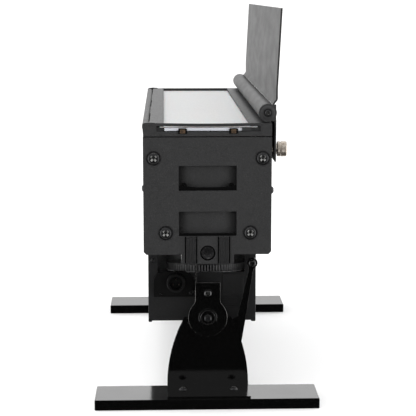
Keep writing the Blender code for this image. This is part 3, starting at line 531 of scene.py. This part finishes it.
def smooth_group():
    """Smooth faces, with a crease along each sharp edge."""
    group, start, end = geometry_group("smooth_by_angle")
    faces = group.nodes.new("GeometryNodeSetShadeSmooth")
    faces.domain = "FACE"
    edges = group.nodes.new("GeometryNodeSetShadeSmooth")
    edges.domain = "EDGE"
    edges.inputs["Shade Smooth"].default_value = False
    corner = group.nodes.new("GeometryNodeInputMeshEdgeAngle")
    sharp = group.nodes.new("FunctionNodeCompare")
    sharp.inputs["B"].default_value = math.radians(NODE_CREASE)
    group.links.new(corner.outputs["Unsigned Angle"], sharp.inputs["A"])
    group.links.new(sharp.outputs["Result"], edges.inputs["Selection"])
    group.links.new(start.outputs[0], faces.inputs["Geometry"])
    group.links.new(faces.outputs["Geometry"], edges.inputs["Geometry"])
    group.links.new(edges.outputs["Geometry"], end.inputs[0])
    return group


WELDED = welded_group()
SMOOTHED = smooth_group()


def finish_node(name, looks, edge, segments):
    """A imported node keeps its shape: it gets materials, clean faces and rounded edges."""
    obj = NODES[name]
    obj.data.materials.clear()
    looks = looks if isinstance(looks, tuple) else (looks,)
    for look in looks:
        obj.data.materials.append(look)
    obj.modifiers.new("welded", "NODES").node_group = WELDED
    if edge:
        bevel(obj, edge, segments, 1 if len(looks) > 1 else -1)
    obj.modifiers.new("smoothed", "NODES").node_group = SMOOTHED
    normals = obj.modifiers.new("normals", "WEIGHTED_NORMAL")
    normals.keep_sharp = True
    normals.use_face_influence = bool(edge)


# ---------------------------------------------------------------- detail pieces

GAP = 0.0003            # left between two pieces that touch
RIB_RISE = 0.0020       # how far the end plates' ribs stand out
RIB_TOP = 0.2006        # how high the ribs reach


def box(name):
    """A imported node's lowest and highest corners, as vectors."""
    low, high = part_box(name)
    return Vector(low), Vector(high)


def middle(name):
    """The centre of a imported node's box."""
    low, high = box(name)
    return (low + high) / 2


def outer_y(name, end):
    """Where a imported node's outer face stands, on the side of the near (-1) or the far (1) end."""
    low, high = box(name)
    return low.y if end < 0 else high.y


def facing(place, direction):
    """The matrix that puts a shape made along +Z at a place, pointing in a direction."""
    return Matrix.Translation(place) @ Vector(direction).to_track_quat("Z", "Y").to_matrix().to_4x4()


def cross(reach, half):
    """The outline of a diagonal cross."""
    plus = [(half, reach), (-half, reach), (-half, half), (-reach, half), (-reach, -half), (-half, -half),
            (-half, -reach), (half, -reach), (half, -half), (reach, -half), (reach, half), (half, half)]
    turn = math.sqrt(0.5)
    return [((x - y) * turn, (x + y) * turn) for x, y in plus]


def hexagon(radius):
    """The outline of a regular hexagon, by the circle through its corners."""
    return arc((0, 0), radius, 30, 330, 5)


def domed_profile(radius, height, shank=0.0, length=0.0):
    """A washer-faced head: a thin rim, a groove and a dome, with an optional shank below."""
    rim = 0.26 * height
    dome = 0.80 * radius
    profile = [(0, -length), (shank, -length), (shank, 0)] if length else [(0, 0)]
    profile += [(0.96 * radius, 0), (radius, 0.35 * rim), (0.97 * radius, rim), (0.86 * radius, rim),
                (0.83 * radius, 0.45 * rim), (dome, 0.5 * rim)]
    for i in range(8):
        angle = math.radians(12 + 78 * i / 7)
        profile.append((dome * math.cos(angle) ** 0.75 if i < 7 else 0,
                        rim + (height - rim) * math.sin(angle)))
    return profile


def turned(name, profile, segments=48):
    """A lathe's work along +Z, as a mesh."""
    return mesh_from(name, lathe(profile, "z", (0, 0), segments))


def socketed(profile, outline, top, bottom, depth, segments=48):
    """A turned head with a tapered recess pressed into its end."""
    height = profile[-1][1]
    above = 0.0004
    recess = loft(((height - depth, outline(*bottom)), (height + above, outline(*top))), "z")
    return carved(turned("head", profile, segments), recess)


def phillips(radius, height, shank=0.0, length=0.0):
    """A domed head with a cross recess, with an optional shank."""
    reach, depth = 0.58 * radius, 0.66 * height
    wide, narrow = (reach, 0.15 * radius), (0.20 * radius, 0.11 * radius)
    return socketed(domed_profile(radius, height, shank, length), cross, wide, narrow, depth)


def hex_socket(radius, height):
    """A domed head with a hexagon recess."""
    top, bottom = (0.50 * radius,), (0.46 * radius,)
    return socketed(domed_profile(radius, height), hexagon, top, bottom, 0.62 * height)


def put(name, mesh, place, direction, looks, body, replaces=(), angle=PIECE_CREASE):
    """A copy of a shape made along +Z, placed as a new piece."""
    copy = mesh.copy()
    copy.transform(facing(place, direction))
    return add_piece(name, copy, looks, body, replaces, angle=angle)


def screw(name, mesh, place, direction, looks=SCREW, body="head", replaces=()):
    """A fastener made along +Z, placed as a new piece."""
    put(name, mesh, place, direction, looks, body, replaces)


def end_plate_screws():
    """Washer-faced cross-head screws on both end plates."""
    low, high = box("near_end_screw_1")
    head = phillips((high.x - low.x) / 2, high.y - low.y)
    for side, end in ENDS:
        for i in range(1, 5):
            node = f"{side}_end_screw_{i}"
            place = middle(node)
            place.y = outer_y(node, -end)
            screw(f"{side}_cross_screw_{i}", head, place, (0, end, 0), replaces=(node,))


def side_screws():
    """Cross-head screws into the finned sides of the shell, near each end; the right ones are larger."""
    low, high = box("housing_shell")
    small, large = phillips(0.0048, 0.0034), phillips(0.0054, 0.0047)
    for side, end in ENDS:
        for name, head, x, from_end, z, out in (("left", small, low.x, 0.0165, 0.2512, -1),
                                                ("right", large, high.x, 0.0075, 0.2500, 1)):
            screw(f"{side}_{name}_side_screw", head, (x, (high.y - from_end) * end, z), (out, 0, 0))


def flanged_bolt(tip):
    """A shank, a washer and a flange with a dished face."""
    shank, washer, flange, dish = 0.0040, 0.0105, 0.0086, 0.0066
    washer_t, flange_t, floor = 0.0008, 0.0030, 0.0014
    return turned("bolt", [(0, -tip), (shank, -tip), (shank, 0), (washer, 0), (washer, washer_t - 0.0002),
                           (washer - 0.0002, washer_t), (flange, washer_t), (flange, flange_t - 0.0004),
                           (flange - 0.0003, flange_t), (flange - 0.0007, flange_t), (dish, floor),
                           (0, floor)], 64)


def pivot_bolts():
    """The washer, dished flange and hexagon end of each pivot bolt, and the bolt above it. The dish's
    sloped wall is a ring of brighter metal that paints highlight arcs on the black flange.
    """
    dish_inner, dish_outer = 0.0066, 0.0079
    across_end, chamfered = 0.0044, 0.0034
    head_r, head_t, shank_r = 0.0056, 0.0032, 0.0030
    for side, end in ENDS:
        node = f"{side}_pivot_bolt"
        low, high = box(node)
        base = outer_y(f"{side}_pivot_plate", end) + end * GAP
        tip = high.y - low.y - abs(outer_y(node, end) - base)
        ring = turned("dish", [(dish_outer, 0.00305), (dish_inner, 0.00148), (dish_inner, 0.0011),
                               (dish_outer, 0.0011)], 64)
        hexagon_end = loft(((0.0013, hexagon(across_end)), (0.0040, hexagon(across_end)),
                            (0.0048, hexagon(chamfered))), "z")
        centre = middle(node)
        place = (centre.x, base, centre.z)
        screw(f"{side}_flanged_bolt", flanged_bolt(tip), place, (0, end, 0), GLOSS, replaces=(node,))
        # The ring lies on the dish's sloped wall: painted highlight arcs.
        screw(f"{side}_dish_highlight_ring", ring, place, (0, end, 0), DISH_HIGHLIGHT_METAL)
        screw(f"{side}_bolt_end", mesh_from("bolt_end", hexagon_end), place, (0, end, 0), OXIDE)
        node = f"{side}_hanger_bolt"
        low, high = box(node)
        centre = middle(node)
        head = phillips(head_r, head_t, shank_r, high.y - low.y - head_t)
        place = (centre.x, outer_y(node, end) - end * head_t, centre.z)
        screw(f"{side}_plate_bolt", head, place, (0, end, 0), (GLOSS, WORN_GLINT), replaces=(node,))


def stay_pin():
    """The black cross-head pin that the tilt stay hangs from."""
    low, high = box("stay_pin")
    height, shank_r = 0.0022, 0.0030
    head = phillips((high.x - low.x) / 2, height, shank_r, high.y - low.y - height)
    centre = middle("stay_pin")
    screw("stay_pin_screw", head, (centre.x, low.y + height, centre.z), (0, -1, 0), (GLOSS, OXIDE),
          replaces=("stay_pin",))


def rail_plugs():
    """A dished plug in the recess over each end of the mounting rail, in a jet-black ring that paints the
    shade in the gap round the plug.
    """
    radius, behind, height = 0.0070, 0.0041, 0.1821
    profile = [(0, 0), (radius, 0), (radius, 0.0013), (radius - 0.0003, 0.0016), (radius - 0.0009, 0.0016)]
    for i in range(7):
        reach = (radius - 0.0014) * (1 - i / 6)
        profile.append((reach, 0.0005 + 0.0009 * (reach / radius) ** 2))
    plug = turned("plug", profile)
    inner, outer, shade_ring_t = radius + 0.0002, 0.0083, 0.0007
    shade_ring = turned("shade_ring", [(inner, 0), (outer, 0), (outer, shade_ring_t), (inner, shade_ring_t)])
    for side, end in ENDS:
        place = (0, outer_y(f"{side}_end_plate", end) - end * behind, height)
        put(f"{side}_rail_plug", plug, place, (0, end, 0), OXIDE, "head")
        put(f"{side}_plug_shade_ring", shade_ring, place, (0, end, 0), JET, "head")


def stand_screws():
    """Two cross-head screws through each upright's flange into its foot."""
    flange_t = 0.0030
    head = phillips(0.0048, 0.0026)
    for side, _ in ENDS:
        flange_top = box(f"{side}_foot")[1].z + GAP + flange_t
        y = middle(f"{side}_foot").y
        for name, x in (("left", -0.027), ("right", 0.031)):
            screw(f"{side}_foot_{name}_screw", head, (x, y, flange_top), (0, 0, 1), body="stand")


def box_screws():
    """Small screws through the box's ears, except where the stay's pin is, and along its cheeks."""
    ear = phillips(0.0030, 0.0014)
    low, high = box("near_box_end")
    for side, end in ENDS:
        for name, x, z in (("left", low.x + 0.0054, 0.1585), ("right", high.x - 0.0035, 0.1535)):
            if (side, name) != ("near", "right"):
                screw(f"{side}_{name}_ear_screw", ear, (x, -low.y * end, z), (0, end, 0))
    low, high = box("driver_box")
    cheek = phillips(0.0036, 0.0018)
    below_top, spacing = 0.0105, 0.13
    for name, x, out in (("left", low.x, -1), ("right", high.x, 1)):
        for i in (1, 2, 3):
            place = (x, (i - 2) * spacing, high.z - below_top)
            screw(f"{name}_cheek_screw_{i}", cheek, place, (out, 0, 0))


def tube_ends():
    """A ring and a socket screw at each end of the rod that the shield turns on."""
    bore, radius, half = 0.0046, 0.0078, 0.2620
    ring = turned("ring", [(bore, 0), (radius, 0), (radius, 0.0003), (radius - 0.0006, 0.0006),
                           (bore, 0.0006)])
    head = hex_socket(0.0042, 0.0018)
    axis = middle("shield_tube")
    for side, end in ENDS:
        place = (axis.x, end * half, axis.z)
        put(f"{side}_rod_ring", ring, place, (0, end, 0), SATIN, "lid")
        screw(f"{side}_rod_screw", head, place, (0, end, 0), body="lid")


def strip_rivets():
    """Domed rivets where the shield's strip is fixed to the lid."""
    rivet = turned("rivet", [(0, 0), (0.0026, 0), (0.0027, 0.0003), (0.0024, 0.0008), (0.0016, 0.0012),
                             (0.0006, 0.0014), (0, 0.0014)], 24)
    face, spacing, height = box("shield_strip")[1].x, 0.200, 0.3178
    for i in (1, 2, 3):
        screw(f"strip_rivet_{i}", rivet, (face, (i - 2) * spacing, height), (1, 0, 0), OXIDE, "lid")


def ribbed(radius, depth, ribs, ripple):
    """A round outline with fine rounded ribs; ripple fades them out."""
    points = []
    for i in range(4 * ribs):
        reach = radius - depth * ripple * (0, 0.5, 1, 0.5)[i % 4]
        angle = math.pi * i / (2 * ribs)
        points.append((reach * math.cos(angle), reach * math.sin(angle)))
    return points


def thumbscrews():
    """A knurled knob with chamfered rims and a dished face, on a collar and a turned screw."""
    ribs, depth = 40, 0.0003
    knob_t, collar_t = 0.0104, 0.0026
    for side, _ in ENDS:
        node = f"{side}_thumbscrew"
        low, high = box(node)
        radius = (high.z - low.z) / 2
        top = high.x - low.x
        foot = top - knob_t
        outlines = ((foot, 0.90, 0.2), (foot + 0.0006, 0.99, 1.0), (foot + 0.0030, 1.0, 1.0),
                    (foot + 0.0033, 0.93, 0.4), (foot + 0.0041, 0.93, 0.4), (foot + 0.0044, 1.0, 1.0),
                    (top - 0.0008, 1.0, 1.0), (top, 0.92, 0.2), (top, 0.70, 0.0), (top - 0.0006, 0.62, 0.0),
                    (top - 0.0008, 0.02, 0.0))
        rings = [(t, ribbed(radius * scale, depth, ribs, ripple)) for t, scale, ripple in outlines]
        collar = foot - collar_t
        shaft = lathe([(0, 0), (0.0020, 0), (0.0028, 0.0010), (0.0028, collar), (0.0055, collar),
                       (0.0058, collar + 0.0004), (0.0058, foot - 0.0006), (0.0050, foot - 0.0002),
                       (0.0050, foot + 0.0004), (0, foot + 0.0004)])
        centre = middle(node)
        whole = mesh_from("knob", joined([loft(rings, "z"), shaft]))
        put(f"{side}_knurled_screw", whole, (low.x, centre.y, centre.z), (1, 0, 0), PLATED,
            f"{side}_thumb", (node,), angle=28)


def vent_springs():
    """The bowed spring along the foot of the upper window, and the flat seal under the lower one."""
    left, right = -0.0313, 0.0313
    eye_x, eye_z, eye_r, eye_bore = 0.0259, 0.2566, 0.0034, 0.0015
    floor, sag, shoulder = 0.2517, 0.2550, 0.2572
    bow_x, rise, steps = 0.0265, 0.0026, 16
    seal_z = (0.2016, 0.2043)
    for side, end in ENDS:
        node = f"{side}_vent_clip"
        face = outer_y(node, -end)
        y = sorted((face - end * 0.0016, face - end * GAP))
        top = []
        for i in range(steps + 1):
            x = bow_x * (2 * i / steps - 1)
            top.append((x, sag + rise * (x / bow_x) ** 4))
        outline = [(left, floor), (right, floor), (right, shoulder)] + top[::-1] + [(left, shoulder)]
        front, back = y[0] - 0.0002, y[1] + 0.0002
        eyes = [lathe([(eye_bore, front), (eye_r, front), (eye_r, back), (eye_bore, back)], "y",
                      (x, eye_z), 24) for x in (-eye_x, eye_x)]
        spring = joined([prism(outline, "y", *y)] + eyes)
        add_piece(f"{side}_vent_spring", spring, JET, "head", (node,), edge=0.0002)
        add_piece(f"{side}_vent_seal", block((left, right), y, seal_z), JET, "head",
                  edge=0.0004)


def sheet_clips():
    """Bent spring clips over the edge of the sheets: a dark frame round a brown tongue."""
    wall, tongue_t = 0.0021, 0.0005
    for name in ("left", "right"):
        node = f"{name}_sheet_clip"
        low, high = box(node)
        front = low.y + 0.0001
        outline = [(low.x, low.z), (high.x, low.z), (high.x, high.z - 0.0008), (high.x - 0.0012, high.z),
                   (low.x + 0.0012, high.z), (low.x, high.z - 0.0008)]
        tongue = block((low.x + wall, high.x - wall), (front, front + tongue_t),
                       (low.z + 0.0004, high.z - 0.0012))
        add_piece(f"{name}_clip_frame", prism(outline, "y", front + tongue_t, high.y), JET, "lid",
                  edge=0.0003)
        add_piece(f"{name}_clip_tongue", tongue, COPPER, "lid", (node,), edge=0.0002)


def cooling_disc():
    """A finned oval round a jet-black core that paints the shade between the fins, between two thin rims,
    the lower one in a paler alloy that paints the light on the rim, with a low hub, on a turned stem.
    """
    low, high = box("cooling_disc")
    centre = middle("cooling_disc")
    rim = (high.x - low.x) / 2
    squeeze = (high.y - low.y) / (high.x - low.x)
    height, plate = 0.0100, 0.0009
    foot = high.z - height
    fins, root, tip = 84, rim - 0.0060, rim - 0.0008

    def oval(bm):
        for vert in bm.verts:
            vert.co.y = centre.y + (vert.co.y - centre.y) * squeeze
        return bm

    points = []
    for i in range(fins):
        for reach, share in ((root, 0.0), (tip, 0.08), (tip, 0.50), (root, 0.58)):
            angle = 2 * math.pi * (i + share) / fins
            points.append((centre.x + reach * math.cos(angle), centre.y + reach * math.sin(angle)))
    core = oval(prism(points, "z", foot + plate, high.z - plate))
    add_piece("cooler_fins", core, ALLOY, "head", ("cooling_disc",))
    place = (centre.x, centre.y)
    sleeve = root + 0.0006
    inner = lathe([(0, foot + plate), (sleeve, foot + plate), (sleeve, high.z - plate),
                   (0, high.z - plate)], "z", place, 96)
    # Jet-black core: painted shade in the gaps between the fins.
    add_piece("cooler_shade_core", oval(inner), JET, "head")
    # The lower rim is paler than the upper: painted light along it.
    for name, z, look in (("lower", foot, LIT_RIM_ALLOY), ("upper", high.z - plate, SATIN)):
        ring = lathe([(0, z), (rim - 0.0003, z), (rim, z + 0.0003), (rim, z + plate - 0.0003),
                      (rim - 0.0003, z + plate), (0, z + plate)], "z", place, 96)
        add_piece(f"cooler_{name}_rim", oval(ring), look, "head")
    hub = lathe([(0, high.z), (0.030, high.z), (0.0293, high.z + 0.0012), (0.025, high.z + 0.0018),
                 (0, high.z + 0.0018)], "z", place, 64)
    add_piece("cooler_hub", oval(hub), SATIN, "head")
    stem = lathe([(0, low.z), (0.0160, low.z), (0.0160, low.z + 0.0010), (0.0140, low.z + 0.0016),
                  (0.0140, foot - 0.0012), (0.0158, foot), (0, foot)], "z", place, 48)
    add_piece("cooler_stem", stem, SATIN, "head")


def power_inlet():
    """The socket with its three contacts, and the screws of its flange."""
    low, high = box("inlet_socket")
    centre = middle("inlet_socket")
    back, front = high.y, low.y
    outer = (high.x - low.x) / 2
    mouth = outer - 0.0027
    floor = back - 0.0030
    profile = [(0, back), (outer, back), (outer, front + 0.0030), (outer - 0.0004, front + 0.0026),
               (outer - 0.0004, front + 0.0020), (outer, front + 0.0016), (outer, front + 0.0006),
               (outer - 0.0006, front), (mouth + 0.0005, front), (mouth, front + 0.0006), (mouth, floor),
               (0, floor)]
    place = (centre.x, centre.z)
    add_piece("socket_body", lathe(profile, "y", place, 48), DULL, "head",
              ("inlet_socket",))
    contacts = []
    for at in arc(place, 0.0040, 90, 330, 2):
        contacts.append(lathe([(0, floor + 0.0002), (0.0009, floor + 0.0002), (0.0009, floor - 0.0042),
                               (0.0005, floor - 0.0048), (0, floor - 0.0048)], "y", at, 16))
    add_piece("socket_contacts", joined(contacts), PLATED, "head")
    head = phillips(0.0032, 0.0016)
    flange_t, height = 0.0022, 0.1213
    face = box("inlet_flange")[1].y - flange_t
    for name, x in (("left", -0.0512), ("right", -0.0170)):
        screw(f"inlet_{name}_screw", head, (x, face, height), (0, -1, 0))


def perforated(x, z, y, columns, rows, share):
    """A thin plate with a grid of round holes, made cell by cell; share is a hole's part of its cell."""
    bm = bmesh.new()
    verts = {}
    dx, dz = (x[1] - x[0]) / columns, (z[1] - z[0]) / rows
    radius = share * min(dx, dz) / 2
    square = ((1, 0), (1, 1), (0, 1), (-1, 1), (-1, 0), (-1, -1), (0, -1), (1, -1))

    def corner(px, pz, py):
        key = (round(px, 6), round(pz, 6), round(py, 6))
        if key not in verts:
            verts[key] = bm.verts.new((px, py, pz))
        return verts[key]

    for column in range(columns):
        for row in range(rows):
            cx, cz = x[0] + (column + 0.5) * dx, z[0] + (row + 0.5) * dz
            rings = {}
            for py in y:
                outer = [corner(cx + u * dx / 2, cz + v * dz / 2, py) for u, v in square]
                inner = [corner(px, pz, py) for px, pz in arc((cx, cz), radius, 0, 315, 7)]
                for i in range(8):
                    j = (i + 1) % 8
                    bm.faces.new((outer[i], outer[j], inner[j], inner[i]))
                rings[py] = (outer, inner)
            front, back = rings[y[0]], rings[y[1]]
            for i in range(8):
                j = (i + 1) % 8
                bm.faces.new((front[1][i], front[1][j], back[1][j], back[1][i]))
                u, v = ((square[i][k] + square[j][k]) / 2 for k in (0, 1))
                if (u, column) in ((1, columns - 1), (-1, 0)) or (v, row) in ((1, rows - 1), (-1, 0)):
                    bm.faces.new((front[0][i], front[0][j], back[0][j], back[0][i]))
    bmesh.ops.recalc_face_normals(bm, faces=bm.faces)
    return bm


def box_front():
    """A blank cover plate and a small grille on the near end of the box."""
    face = box("near_box_end")[0].y
    y = (face - 0.0009, face - 0.0001)
    plate = block((0.0195, 0.0440), y, (0.1190, 0.1425))
    grille = perforated((0.0195, 0.0405), (0.1025, 0.1155), y, 10, 6, 0.66)
    add_piece("blank_plate", plate, BOX_COAT, "head", edge=0.0003)
    add_piece("box_grille", grille, BOX_COAT, "head")


def led_chips():
    """The row of small yellow emitters under the lenses."""
    top = box("led_board")[1].z
    pitch, count, half = 0.031, 16, 0.0017
    chips = []
    for i in range(count):
        y = (i - (count - 1) / 2) * pitch
        square = [(half, -half + y), (half, half + y), (-half, half + y), (-half, -half + y)]
        small = [(0.8 * u, y + 0.8 * (v - y)) for u, v in square]
        chips.append(loft(((top - 0.0001, square), (top + 0.00015, square), (top + 0.00022, small)), "z"))
    add_piece("led_chips", joined(chips), PHOSPHOR, "head")


def rib_caps():
    """A grooved channel strip on the face of each upright rib, in the darker coat, and dark strips beside
    the rib that paint the shadow gap along its sides. The caps' darker coat partly paints the shade of the
    recessed channels.
    """
    half, thick, groove, depth, lift = 0.0049, 0.0006, 0.0007, 0.0005, 0.00005
    shadow_x, shadow_half, shadow_t = 0.0061, 0.0007, 0.0004
    outline = [(-half, 0), (half, 0), (half, thick)]
    for x in (0.0034, 0.0, -0.0034):
        outline += [(x + groove, thick), (x + groove / 2, thick - depth), (x - groove / 2, thick - depth),
                    (x - groove, thick)]
    outline.append((-half, thick))
    for side, end in ENDS:
        face = outer_y(f"{side}_end_plate", end)
        plate = face - end * RIB_RISE
        y = sorted((plate + end * lift, plate + end * shadow_t))
        z = (box(f"{side}_end_plate")[0].z + 0.0006, RIB_TOP)
        for name, centre in (("left", -0.0183), ("right", 0.0178)):
            cap = prism([(centre + x, face + end * (t + lift)) for x, t in outline], "z", *z)
            # Dark strips beside each rib: painted shadow.
            shadow_strips = [block((x - shadow_half, x + shadow_half), y, z)
                     for x in (centre - shadow_x, centre + shadow_x)]
            add_piece(f"{side}_{name}_rib_cap", cap, BOX_COAT, "head", edge=0.0001)
            add_piece(f"{side}_{name}_rib_shadow_strip", joined(shadow_strips), JET, "head", edge=0.0001)


def slot_trim():
    """The dark strip on the sagging bar over the sheets' slot, and the stop at the lens plate's end."""
    face = box("lid_frame")[0].y
    left, right, height, sag, width, steps = -0.0553, 0.0573, 0.3253, 0.0008, 0.0031, 16
    upper, lower = [], []
    for i in range(steps + 1):
        t = i / steps
        x = left + (right - left) * t
        top = height - sag * math.sin(math.pi * t)
        upper.append((x, top))
        lower.append((x, top - width))
    strip = prism(upper + lower[::-1], "y", face - 0.0005, face - 0.00005)
    stop = block((0.0370, 0.0470), (face + 0.0003, face + 0.0015), (0.3165, 0.3201))
    add_piece("slot_bar_strip", strip, SATIN, "lid", edge=0.0001)
    add_piece("lens_stop", stop, TEXTURED, "lid", edge=0.0002)


def box_skids():
    """Two chamfered beads along the bottom corners of the box."""
    low, high = box("driver_box")
    chamfer, past_end = 0.0008, 0.0014
    top, side, foot = low.z - 0.0001, low.z - chamfer, low.z - 2 * chamfer
    for name, x0, x1 in (("left", low.x, low.x + 0.0042), ("right", high.x - 0.0052, high.x)):
        outline = [(x0, top), (x0, side), (x0 + chamfer, foot), (x1 - chamfer, foot), (x1, side), (x1, top)]
        bead = prism(outline, "y", low.y - past_end, high.y + past_end)
        add_piece(f"{name}_box_bead", bead, BOX_COAT, "head", edge=0.0003)


def make_details():
    rib_caps()
    slot_trim()
    box_skids()
    end_plate_screws()
    side_screws()
    pivot_bolts()
    stay_pin()
    rail_plugs()
    stand_screws()
    box_screws()
    tube_ends()
    strip_rivets()
    thumbscrews()
    vent_springs()
    sheet_clips()
    cooling_disc()
    power_inlet()
    box_front()
    led_chips()


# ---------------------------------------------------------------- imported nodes

# Widths of the rounded edges.
ROUNDED = 0.0007
PLATE_EDGE = 0.0006
SHEET_METAL = 0.0005
THIN_SHEET = 0.0004
FINE = 0.0003
SQUARE = 0.0

# Material, or faces' and edges' materials, then edge width and nodes.
NODE_LOOKS = (
    (GLOSS, FINE, ("near_foot", "far_foot")),
    ((GLOSS, EDGE_HIGHLIGHT), ROUNDED, ("near_upright", "far_upright", "near_pivot_plate", "far_pivot_plate",
                                    "tilt_stay")),
    ((GLOSS, EDGE_HIGHLIGHT), THIN_SHEET, ("near_hanger", "far_hanger")),
    (TEXTURED, PLATE_EDGE, ("near_end_plate", "far_end_plate")),
    (TEXTURED, SHEET_METAL, ("lid_frame", "shield_strip")),
    (SHIELD, SHEET_METAL, ("glare_shield",)),
    (SHIELD, FINE, ("shield_tube",)),
    (BOX_COAT, SHEET_METAL, ("driver_box", "driver_cover", "near_box_end", "far_box_end")),
    (TEXTURED, FINE, ("housing_shell", "hinge_leaf", "near_vent_baffle", "far_vent_baffle")),
    (OXIDE, FINE, ("stay_clamp",)),
    (PLATED, FINE, ("hinge_rod", "hinge_pin")),
    (OPAL, FINE, ("diffuser_sheet",)),
    (WHITE, FINE, ("reflector",)),
    (CLEAR, FINE, ("lens_plate", "led_lenses")),
    (ALUMINIUM, FINE, ("heat_sink", "mounting_rail")),
    (LED_BOARD, SQUARE, ("led_board",)),
    (DRIVER_BOARD, SQUARE, ("driver_board",)),
    (MOULDED, FINE, ("near_friction_washer", "far_friction_washer", "link_cable")),
    (DULL, FINE, ("inlet_flange",)),
)


def finish_nodes():
    for looks, edge, names in NODE_LOOKS:
        for name in names:
            finish_node(name, looks, edge, 3 if edge == ROUNDED else 2)


# ---------------------------------------------------------------- studio

SKY = 1.2
WALL_GAIN = 0.6         # extra light from the wall behind, which the foot tops mirror
SIDE_GAIN = 2.0         # extra light from tall panels at both sides
DARK_FRONT = 0.02       # what is left of the sky low down in front


def studio():
    """A white floor under a white sky, brighter at both sides and behind, dark low down in front."""
    world = bpy.data.worlds.new("studio")
    SCENE.world = world
    world.use_nodes = True
    nodes, links = world.node_tree.nodes, world.node_tree.links
    place = nodes.new("ShaderNodeTexCoord")
    parts = nodes.new("ShaderNodeSeparateXYZ")
    links.new(place.outputs["Generated"], parts.inputs["Vector"])

    def fade(value, low, high):
        node = nodes.new("ShaderNodeMapRange")
        node.interpolation_type = "SMOOTHSTEP"
        node.inputs["From Min"].default_value = low
        node.inputs["From Max"].default_value = high
        links.new(value, node.inputs["Value"])
        return node.outputs["Result"]

    def calc(operation, first, second):
        node = nodes.new("ShaderNodeMath")
        node.operation = operation
        for socket, value in zip(node.inputs, (first, second)):
            if isinstance(value, bpy.types.NodeSocket):
                links.new(value, socket)
            else:
                socket.default_value = value
        return node.outputs[0]

    front = fade(parts.outputs["Y"], -0.15, -0.65)
    below = fade(parts.outputs["Z"], 0.20, -0.02)
    across_x = calc("ABSOLUTE", parts.outputs["X"], 0.0)
    dark = calc("MULTIPLY", calc("MULTIPLY", front, below), fade(across_x, 0.66, 0.46))
    behind = fade(parts.outputs["Y"], 0.50, 0.85)
    wall = calc("MULTIPLY", behind, fade(parts.outputs["Z"], 0.20, 0.31))
    sideways = fade(across_x, 0.62, 0.80)
    panels = calc("MULTIPLY", sideways, fade(parts.outputs["Z"], 0.45, 0.20))
    bright = calc("ADD", calc("MULTIPLY", wall, WALL_GAIN), calc("MULTIPLY", panels, SIDE_GAIN))
    level = calc("ADD", bright, 1.0)
    left_over = calc("SUBTRACT", 1.0, calc("MULTIPLY", dark, 1.0 - DARK_FRONT))
    sky = calc("MULTIPLY", level, left_over)
    links.new(sky, nodes["Background"].inputs["Color"])
    nodes["Background"].inputs["Strength"].default_value = SKY

    floor_mesh = bpy.data.meshes.new("floor")
    reach = 30.0
    floor_mesh.from_pydata([(-reach, -reach, 0), (reach, -reach, 0), (reach, reach, 0), (-reach, reach, 0)],
                           [], [(0, 1, 2, 3)])
    floor = bpy.data.objects.new("floor", floor_mesh)
    paper = Look("white_paper", (0.92, 0.92, 0.92), 0.9)
    paper.colour(paper.mix(paper.noise(3.0, 3.0), (0.91, 0.91, 0.91), (0.93, 0.93, 0.93)))
    floor_mesh.materials.append(paper.material)
    SCENE.collection.objects.link(floor)
    floor.location.z = -0.0002
    floor.visible_glossy = False

    light = bpy.data.lights.new("top_softbox", "AREA")
    light.size = 1.4
    light.energy = 9.0
    lamp = bpy.data.objects.new("top_softbox", light)
    SCENE.collection.objects.link(lamp)
    lamp.location = (-0.3, -0.3, 1.7)
    target = Vector((0.0, 0.0, 0.3))
    lamp.rotation_euler = (target - lamp.location).to_track_quat("-Z", "Y").to_euler()


def camera():
    data = bpy.data.cameras.new("camera")
    data.lens = LENS
    data.sensor_width = SENSOR
    data.clip_start = 0.05
    data.clip_end = 100.0
    obj = bpy.data.objects.new("camera", data)
    SCENE.collection.objects.link(obj)
    obj.location = CAMERA_PLACE
    obj.rotation_euler = [math.radians(a) for a in CAMERA_TURN]
    SCENE.camera = obj


make_details()
finish_nodes()
camera()
studio()
SCENE.view_settings.view_transform = "Standard"
